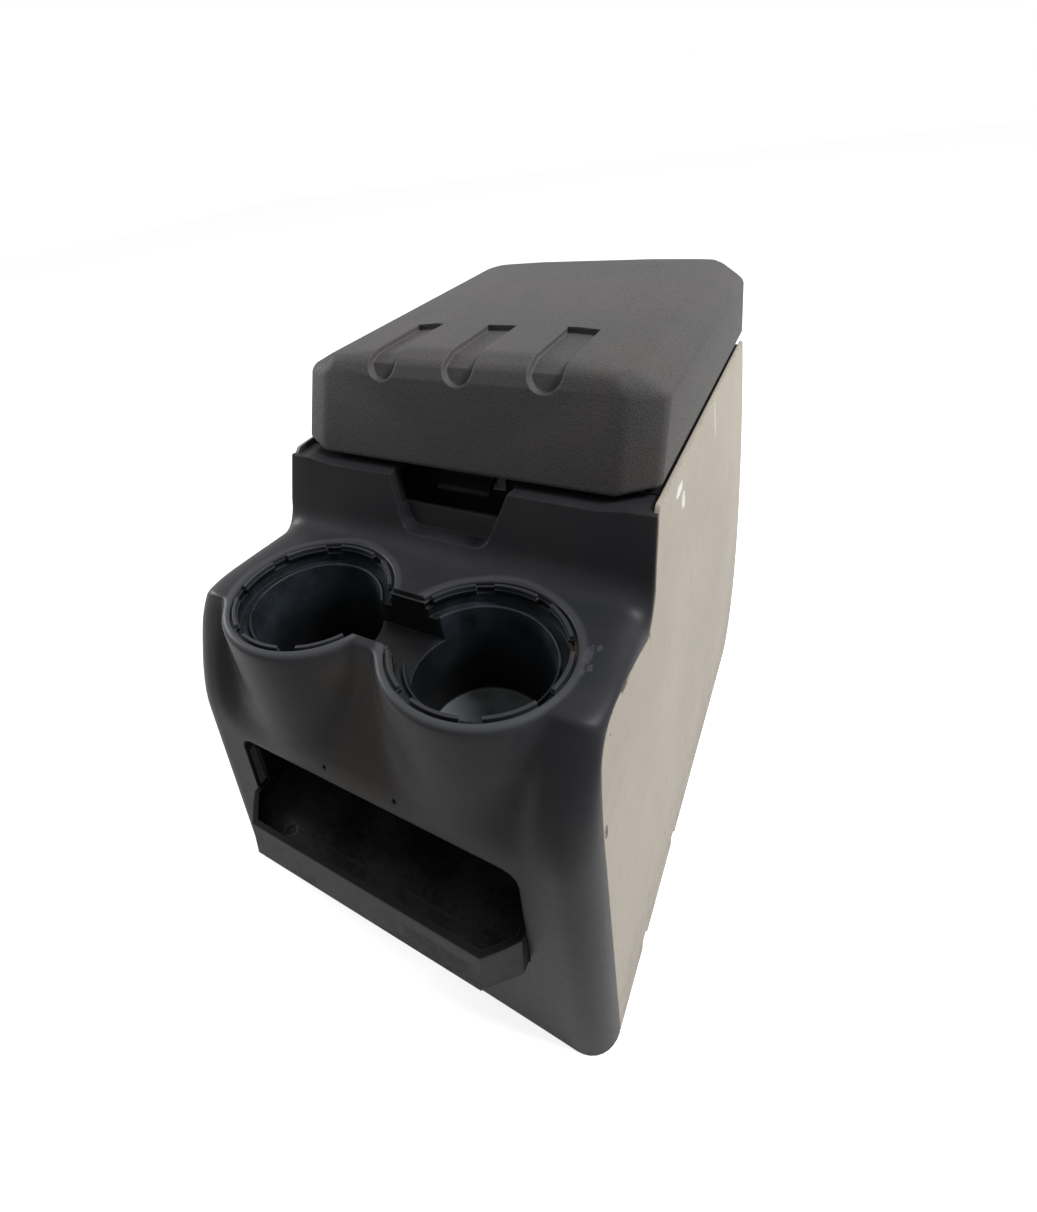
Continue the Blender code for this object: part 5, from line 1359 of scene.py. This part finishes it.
# Storage bin, lid frame and lid liner
# Plain black inner mouldings: the bin hangs by its rim on ledges of the side panels, the frame
# stiffens the lid, and the liner closes the lid from below and carries the latch.
def refine(name, body, material, slot, width=0.0, angle=30):
    """A smooth copy of a node of the part, its loose triangles joined and its edges eased."""
    obj = place_object(f"{name}_look", frame["nodes"][name].data.copy())
    merge(obj.data)
    smooth(obj, angle, width)
    dress(obj, material, body, slot)


def dark_moulding(name, low, high, roughness, worn=0.2):
    """A hidden black moulding: even colour with a little dust, and a coarse etched grain."""
    material, at, shader = start_finish(name, specular_ior_level=0.15)
    clouds, fine = noise(at, 18, 4, 0.6), noise(at, 350, 3)
    soft, edge = rounded_edge(at, 0.0010)
    colour = blend(band(clouds, 0.3, 0.75), low, high)
    blend(edge * (worn + fine * 0.3), colour, tint(74, 74, 75)).feeds(shader, "Base Color")
    (roughness + fine * 0.15).feeds(shader, "Roughness")
    bump(noise(at, 800, 3), 0.0001, soft).feeds(shader, "Normal")
    return material


bin_black = dark_moulding("bin plastic", tint(20, 20, 21), tint(28, 28, 29), 0.48)
frame_black = dark_moulding("frame plastic", tint(33, 33, 34), tint(41, 41, 42), 0.50)
refine("storage_bin", "console_body", bin_black, "bin_plastic", width=0.0008)
refine("lid_liner", "lid", bin_black, "bin_plastic", width=0.0005)
refine("lid_frame", "lid", frame_black, "frame_plastic")


# Bin mat and lid bumpers
# Soft black rubber: a loose mat on the floor of the bin, and two buttons under the lid that land
# on the bin's rim and are held by a stud through the liner.
def rubber():
    material, at, shader = start_finish("rubber", specular_ior_level=0.3)
    clouds, cells = noise(at, 60, 4), noise(at, 500, 2)
    blend(band(clouds, 0.35, 0.7), tint(24, 24, 25), tint(38, 38, 38)).feeds(shader, "Base Color")
    (0.72 + cells * 0.15).feeds(shader, "Roughness")
    bump(cells, 0.0002).feeds(shader, "Normal")
    return material


black_rubber = rubber()
refine("bin_mat", "console_body", black_rubber, "rubber", width=0.0006)
for side, _ in SIDES:
    refine(f"lid_bumper_{side}", "lid", black_rubber, "rubber", width=0.0005, angle=40)


# Armrest pad
# Moulded charcoal skin with a pebbled leather grain over firm foam. Its corners are cut by flat
# facets, and three shallow grooves run from the front edge back over the top.
LID_FRONT_LOW = 0.050
LID_SIDE_LOW = 0.054
LID_CREASE = 0.105
LID_EDGE = 0.115
LID_CROWN = 0.1195
LID_HALF = 0.131
LID_TOP_HALF = 0.1085
LID_TOP_SET = 0.006
LID_FRONT_Y = 0.088
LID_LEAN = 0.345
LID_TAPER = 0.030
LID_CORNER_X = 0.109
LID_CORNER_Y = 0.010
LID_REAR_CORNER = 0.016
LID_REAR_SWEEP = 0.35
LID_REAR_BULGE = 0.001
LID_CORNER_INSET = 0.6
LID_BASE_SHARE = 0.5
LID_RIDGE_DEPTH = 0.9
LID_SOFT_EDGE = 0.0038
LID_SOFT_STEPS = 6
LID_SOFT_ANGLE = math.radians(14)
LID_TOP_CORNER = (0.007, 0.008, 0.012)
PAD_WALL = 0.008
GROOVE_PITCH = 0.059
GROOVE_HALF = 0.0112
GROOVE_DEPTH = 0.004
GROOVE_REAR_Y = 0.180
GROOVE_LOW = 0.102
GROOVE_FRONT_Y = 0.070
GROOVE_STEPS = 24
PEBBLE_SCALE = 1050.0


def lid_ring(front_z, side_z, inset):
    """Half outline of the lid's walls; the front leans back and the sides lean in."""
    front = LID_FRONT_Y + LID_LEAN * (front_z - LID_FRONT_LOW) + inset
    beside = LID_FRONT_Y + LID_LEAN * (side_z - LID_FRONT_LOW) + inset
    rise = side_z - LID_SIDE_LOW
    wide = LID_HALF - LID_TAPER * rise - inset
    rear = LID_REACH - inset
    corner = LID_CORNER_X - LID_TAPER * rise - inset * LID_CORNER_INSET
    far = LID_REACH - LID_REAR_CORNER - LID_REAR_SWEEP * rise - inset * LID_CORNER_INSET
    return [
        (0, front, front_z),
        (corner, front, front_z),
        (wide, beside + LID_CORNER_Y + inset * FACET_INSET, side_z),
        (wide, far, side_z),
        (corner, rear - LID_REAR_BULGE, side_z),
        (0, rear, side_z),
    ]


def lid_top_ring(z, inset):
    """Half outline of the top face inside the sloping strips along its sides."""
    front = LID_FRONT_Y + LID_LEAN * (LID_CREASE - LID_FRONT_LOW) + LID_TOP_SET + inset
    half = LID_TOP_HALF - inset * LID_CORNER_INSET
    rear = LID_REACH - LID_TOP_SET - inset
    across, near, far = LID_TOP_CORNER
    right = [(half - across, front), (half, front + near)]
    right += [(half, rear - far), (half - across, rear)]
    return [(x, y, z) for x, y in [(0, front)] + right + [(0, rear)]]


def lid_form(name, inset, drop=0.0):
    """The outer form of the lid, smaller by an inset, carried straight down by a drop."""
    lower = lid_ring(LID_FRONT_LOW, LID_SIDE_LOW, inset)
    crease = lid_ring(LID_CREASE - inset, LID_CREASE - inset, inset)
    edge = lid_top_ring(LID_EDGE - inset, inset)
    middle = (LID_FRONT_Y + LID_REACH) / 2
    low = LID_SIDE_LOW - drop
    share, deep = LID_BASE_SHARE, LID_RIDGE_DEPTH
    base = [(x * share, middle + (y - middle) * share, low) for x, y, _ in lower]
    ridge = [(x * share, middle + (y - middle) * deep, LID_CROWN - inset) for x, y, _ in edge]
    skirt = [[(x, y, z - drop) for x, y, z in lower]] if drop else []
    rings = []
    for half in (base, *skirt, lower, crease, edge, ridge):
        rings.append(half + [(-x, y, z) for x, y, z in reversed(half[1:-1])])
    form = loft(name, rings, flat=False)
    if inset > 0:
        split = form.modifiers.new("flat faces", "TRIANGULATE")
        split.quad_method = "FIXED"
    return form


def soften(obj, width):
    """Round the edges of the pad's form."""
    bevel = obj.modifiers.new("soft edges", "BEVEL")
    bevel.width = width
    bevel.segments = LID_SOFT_STEPS
    bevel.limit_method = "ANGLE"
    bevel.angle_limit = LID_SOFT_ANGLE
    obj.modifiers.new("flat faces", "TRIANGULATE")


def add_pad():
    pad = lid_form("armrest_pad_look", 0.0)
    soften(pad, LID_SOFT_EDGE)
    core = lid_form("lid_core", GROOVE_DEPTH, CUT)
    for number, x in enumerate((-GROOVE_PITCH, 0.0, GROOVE_PITCH), 1):
        groove = add_groove(number, x)
        cut(groove, core)
        cut(pad, groove)
    cut(pad, lid_form("pad_hollow", PAD_WALL, CUT))
    return pad


def add_groove(number, x):
    """Block over one groove: square at its rear end, and round where it ends on the front."""
    outline = []
    for i in range(GROOVE_STEPS + 1):
        turn = math.pi * i / GROOVE_STEPS
        across = x - GROOVE_HALF * math.cos(turn)
        outline.append((across, GROOVE_LOW + GROOVE_HALF * (1 - math.sin(turn))))
    top = LID_CROWN + SHORT_CUT
    outline += [(x + GROOVE_HALF, top), (x - GROOVE_HALF, top)]
    return prism(f"groove_{number}", outline, "Y", GROOVE_FRONT_Y, GROOVE_REAR_Y)


def grained_skin():
    """Pebbled charcoal skin, worn smooth and a little lighter on its edges."""
    material, at, shader = start_finish("grained skin", specular_ior_level=0.16)
    clouds, fine = noise(at, 12, 4, 0.6), noise(at, 240, 3)
    soft, edge = rounded_edge(at, 0.0020)
    colour = blend(band(clouds, 0.3, 0.72), tint(83, 82, 82), tint(89, 87, 86))
    warm = band(on_axis(at, "X"), 0.03, 0.10) * band(on_axis(at, "Y"), 0.03, -0.04)
    colour = blend(warm * band(clouds, 0.35, 0.65) * 0.5, colour, tint(92, 81, 78))
    colour = blend(edge * (0.45 + fine * 0.5), colour, tint(116, 112, 109))
    cells = {"Vector": at, "Scale": PEBBLE_SCALE, "Smoothness": 0.6}
    pebbles = at.node("TexVoronoi", cells, feature="SMOOTH_F1")
    creases = band(pebbles, 0.35, 0.75)
    blend(creases * 0.28, colour, tint(56, 55, 55)).feeds(shader, "Base Color")
    (0.50 + fine * 0.10 + creases * 0.12 - edge * 0.08).feeds(shader, "Roughness")
    bump(1 - pebbles + noise(at, 1600, 2) * 0.3, 0.00019, soft, 0.9).feeds(shader, "Normal")
    return material


pad = add_pad()
settle(pad, angle=28)
dress(pad, grained_skin(), "lid", "grained_skin")


# Floor brackets, hinge and striker
# Zinc-plated steel: two strips with holes for floor bolts, bent up at both ends to meet the side
# panels, the two leaves and pin of the lid hinge, and the catch that the latch hooks under.
def steel(name, low, high, roughness):
    """Plated steel: bright metal with dull, slightly darker blotches and fine drawn lines."""
    material, at, shader = start_finish(name, metallic=1.0)
    clouds, fine = noise(at, 60, 5, 0.65), noise(at, 900, 2)
    soft, edge = rounded_edge(at, 0.0004)
    colour = blend(band(clouds, 0.35, 0.7), low, high)
    blend(edge * 0.5, colour, tint(214, 214, 214)).feeds(shader, "Base Color")
    (roughness + clouds * 0.15 + fine * 0.05).feeds(shader, "Roughness")
    bump(fine, 0.00003, soft).feeds(shader, "Normal")
    return material


zinc = steel("zinc-plated steel", tint(140, 141, 142), tint(176, 177, 178), 0.26)
for name in ("floor_bracket_front", "floor_bracket_rear", "latch_striker"):
    refine(name, "console_body", zinc, "zinc_steel", width=0.0004)
refine("hinge_leaf_body", "console_body", zinc, "zinc_steel", angle=40)
refine("hinge_pin", "console_body", zinc, "zinc_steel", angle=40)
refine("hinge_leaf_lid", "lid", zinc, "zinc_steel", angle=40)


# Latch
# Black lever under the front of the lid: a finger lifts its tip and its nose leaves the striker.
# It turns on a steel pin between two ears of the liner, and a small coil spring returns it.
# Near-black colour: painted shade of the finger recess that the latch sits in.
latch_in_painted_shade = dark_moulding("latch plastic", tint(3, 3, 3), tint(6, 6, 6), 0.6, worn=-0.1)
spring = steel("spring steel", tint(120, 120, 122), tint(158, 158, 160), 0.24)
refine("latch_paddle", "latch", latch_in_painted_shade, "latch_plastic", width=0.0004, angle=35)
refine("latch_pin", "lid", spring, "spring_steel", angle=40)
refine("latch_spring", "lid", spring, "spring_steel", angle=50)


# Screws
# Dull steel pan-head screws with a cross recess hold the pieces together, and each lies where the
# part has it. One tree of nodes makes them all from a point for each screw.
HEAD_HEIGHT = 0.0022
SCREW_SIDES = 20
HEAD_SLIM = 0.92
HEAD_RINGS = 5
HEAD_TOP_SHARE = 0.66
HEAD_SWELL = 0.16
END_SHARE = 0.6
RECESS_SHARE = 1.1
RECESS_WIDTH = 0.0011
RECESS_DROP = 0.0011


def screw_tree():
    """Screws at the points of a mesh: each is turned and made as long as its point says."""
    points, given, names = start_tree(
        "pan-head screws", shank_radius="Float", head_radius="Float", head_height="Float",
        sides="Int", recess_length="Float", recess_width="Float", recess_depth="Float",
        skin="Material",
    )
    sides, height, radius = given["sides"], given["head_height"], given["head_radius"]
    head = sides.node("GeometryNodeMeshCone", {
        "Vertices": sides, "Side Segments": HEAD_RINGS, "Radius Top": radius * HEAD_TOP_SHARE,
        "Radius Bottom": radius, "Depth": height,
    })
    place = head.node("GeometryNodeInputPosition")
    share = on_axis(place, "Z") / height
    swell = share.maths("SINE", share * math.pi) * HEAD_SWELL + 1.0
    wider = swell.node("CombineXYZ", {"X": swell, "Y": swell, "Z": 1.0})
    round_place = place.node("VectorMath", {0: place, 1: wider}, operation="MULTIPLY")
    head = head.node("GeometryNodeSetPosition", {"Geometry": head, "Position": round_place})
    lift = height.node("CombineXYZ", {"Z": height})
    arms = (given["recess_length"], given["recess_width"])
    deep = given["recess_depth"] * 2.0
    for long_side, short_side in (arms, arms[::-1]):
        size = deep.node("CombineXYZ", {"X": long_side, "Y": short_side, "Z": deep})
        bar = size.node("GeometryNodeMeshCube", {"Size": size})
        bar = bar.node("GeometryNodeTransform", {"Geometry": bar, "Translation": lift})
        head = head.node("GeometryNodeMeshBoolean", {
            "Mesh 1": head, "Mesh 2": bar,
        }, operation="DIFFERENCE", solver="EXACT")
    shank = sides.node("GeometryNodeMeshCylinder", {
        "Vertices": sides, "Side Segments": 1, "Radius": given["shank_radius"], "Depth": 1.0,
    })
    shank = shank.node("GeometryNodeTransform", {"Geometry": shank, "Translation": (0, 0, -0.5)})
    stored = "GeometryNodeInputNamedAttribute"
    turn = points.node(stored, {"Name": "turn"}, data_type="FLOAT_VECTOR")
    length = points.node(stored, {"Name": "reach"}, data_type="FLOAT")
    stretch = length.node("CombineXYZ", {"X": 1.0, "Y": 1.0, "Z": length})
    heads = head.node("GeometryNodeInstanceOnPoints", {
        "Points": points, "Instance": head, "Rotation": turn,
    })
    shanks = shank.node("GeometryNodeInstanceOnPoints", {
        "Points": points, "Instance": shank, "Rotation": turn, "Scale": stretch,
    })
    both = heads.node("GeometryNodeJoinGeometry", {0: heads})
    both.tree.links.new(shanks.socket, both.socket.node.inputs[0])
    real = both.node("GeometryNodeRealizeInstances", {"Geometry": both})
    return end_tree(real, given["skin"]), names


def screw_place(name):
    """Seat of a screw's head, the way that the head points, and the shank's length."""
    low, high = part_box(name)
    size = high - low
    axis = max(range(3), key=lambda k: size[k])
    points = [vertex.co for vertex in frame["nodes"][name].data.vertices]
    middle = (low + high) / 2
    reach = [max(abs(p[(axis + 1) % 3] - middle[(axis + 1) % 3]) for p in points
                 if abs(p[axis] - end[axis]) < HEAD_HEIGHT * END_SHARE) for end in (low, high)]
    outward = -1 if reach[0] > reach[1] else 1
    way = Vector((0, 0, 0))
    way[axis] = outward
    seat = middle.copy()
    seat[axis] = (low if outward < 0 else high)[axis] - outward * HEAD_HEIGHT
    return seat, way, size[axis] - HEAD_HEIGHT


screw_steel = steel("screw steel", tint(92, 92, 94), tint(122, 122, 124), 0.30)
pan_head, pan_head_names = screw_tree()
for body in ("console_body", "lid"):
    nodes = sorted(name for name in frame["record"]["behaviour"]["bodies"][body] if "screw" in name)
    places = [screw_place(name) for name in nodes]
    screws = add_object(f"{body}_screws", [seat for seat, _, _ in places], [])
    screws.data.attributes.new("turn", "FLOAT_VECTOR", "POINT")
    screws.data.attributes.new("reach", "FLOAT", "POINT")
    for i, (_, way, length) in enumerate(places):
        screws.data.attributes["turn"].data[i].vector = way.to_track_quat("Z", "Y").to_euler()
        screws.data.attributes["reach"].data[i].value = length
    run_tree(screws, pan_head, pan_head_names, {
        "shank_radius": SHANK_RADIUS, "head_radius": HEAD_RADIUS * HEAD_SLIM,
        "head_height": HEAD_HEIGHT, "sides": SCREW_SIDES,
        "recess_length": HEAD_RADIUS * RECESS_SHARE,
        "recess_width": RECESS_WIDTH, "recess_depth": RECESS_DROP, "skin": screw_steel,
    })
    smooth(screws, angle=35)
    dress(screws, screw_steel, body, "screw_steel", *nodes)


# Floor, light and camera
# A plain pale floor and an even white surround; one large soft lamp above and to the right, and
# a weaker one from the left front.
FLOOR_HALF = 6.0
FLOOR_LIFT = 0.8
FLOOR_MIRRORED = 0.75
FILL = 0.205
corners = [(x * FLOOR_HALF, y * FLOOR_HALF, 0) for x, y in ((-1, -1), (1, -1), (1, 1), (-1, 1))]
floor = add_object("floor", corners, [(0, 1, 2, 3)])
if floor.data.polygons[0].normal.z < 0:
    floor.data.flip_normals()
pale, at, shader = start_finish("pale floor", roughness=0.9, specular_ior_level=0.0)
seen = at.node("LightPath", out="Is Camera Ray")
seen = seen.maths("MAXIMUM", seen, at.node("LightPath", out="Is Glossy Ray") * FLOOR_MIRRORED)
paper = blend(noise(at, 1.5, 2), tint(236, 236, 235), tint(240, 240, 239))
blend(seen, tint(112, 112, 112), paper).feeds(shader, "Base Color")
shader.inputs["Emission Strength"].default_value = FLOOR_LIFT
blend(seen, (0, 0, 0, 1), (1, 1, 1, 1)).feeds(shader, "Emission Color")
floor.data.materials.append(pale)

world = bpy.data.worlds.new("white surround")
world.use_nodes = True
bpy.context.scene.world = world
surround = world.node_tree.nodes["Background"]
paths = Wire(world.node_tree).node("LightPath", out="Is Camera Ray")
mirrored = paths.node("LightPath", out="Is Glossy Ray")
through = paths.node("LightPath", out="Is Transmission Ray")
white = paths.maths("MAXIMUM", paths.maths("MAXIMUM", paths, mirrored), through)
(white * (1 - FILL) + FILL).feeds(surround, "Strength")
surround.inputs["Color"].default_value = (1, 1, 1, 1)


def soft_lamp(name, place, target, size, power):
    lamp = bpy.data.lights.new(name, "AREA")
    lamp.shape = "DISK"
    lamp.size = size
    lamp.energy = power
    obj = place_object(name, lamp)
    obj.location = place
    obj.rotation_euler = (Vector(target) - Vector(place)).to_track_quat("-Z", "Y").to_euler()


soft_lamp("key lamp", (1.5, 0.45, 1.9), (0, 0, 0.2), 0.8, 50)
soft_lamp("side lamp", (-1.9, -0.1, 0.95), (0, 0, 0.15), 0.45, 20)

# The camera was fitted to the photo: angles in degrees, the eye in metres, the lens in its pixels
AZIMUTH, ELEVATION, ROLL = map(math.radians, (35.547, 30.404, 8.987))
EYE = (0.19774, -0.37072, 0.50424)
FOCAL, PHOTO_WIDTH, PHOTO_HEIGHT = 625.70, 1037, 1212
MIDDLE = (430.56, 499.92)
lens = bpy.data.cameras.new("camera")
camera = place_object("camera", lens)
lens.sensor_width = 36
lens.lens = FOCAL / PHOTO_HEIGHT * lens.sensor_width
lens.shift_x = (PHOTO_WIDTH / 2 - MIDDLE[0]) / PHOTO_HEIGHT
lens.shift_y = (MIDDLE[1] - PHOTO_HEIGHT / 2) / PHOTO_HEIGHT
lens.clip_start = 0.01
back = Vector((math.sin(AZIMUTH) * math.cos(ELEVATION), -math.cos(AZIMUTH) * math.cos(ELEVATION),
               math.sin(ELEVATION)))
side = (-back).cross(Vector((0, 0, 1))).normalized()
down = (-back).cross(side)
level = math.cos(ROLL) * side + math.sin(ROLL) * down
upright = -(math.cos(ROLL) * down - math.sin(ROLL) * side)
turn = Matrix((level, upright, back)).transposed().to_4x4()
camera.matrix_world = Matrix.Translation(EYE) @ turn
bpy.context.scene.camera = camera
bpy.context.scene.view_settings.view_transform = "Standard"
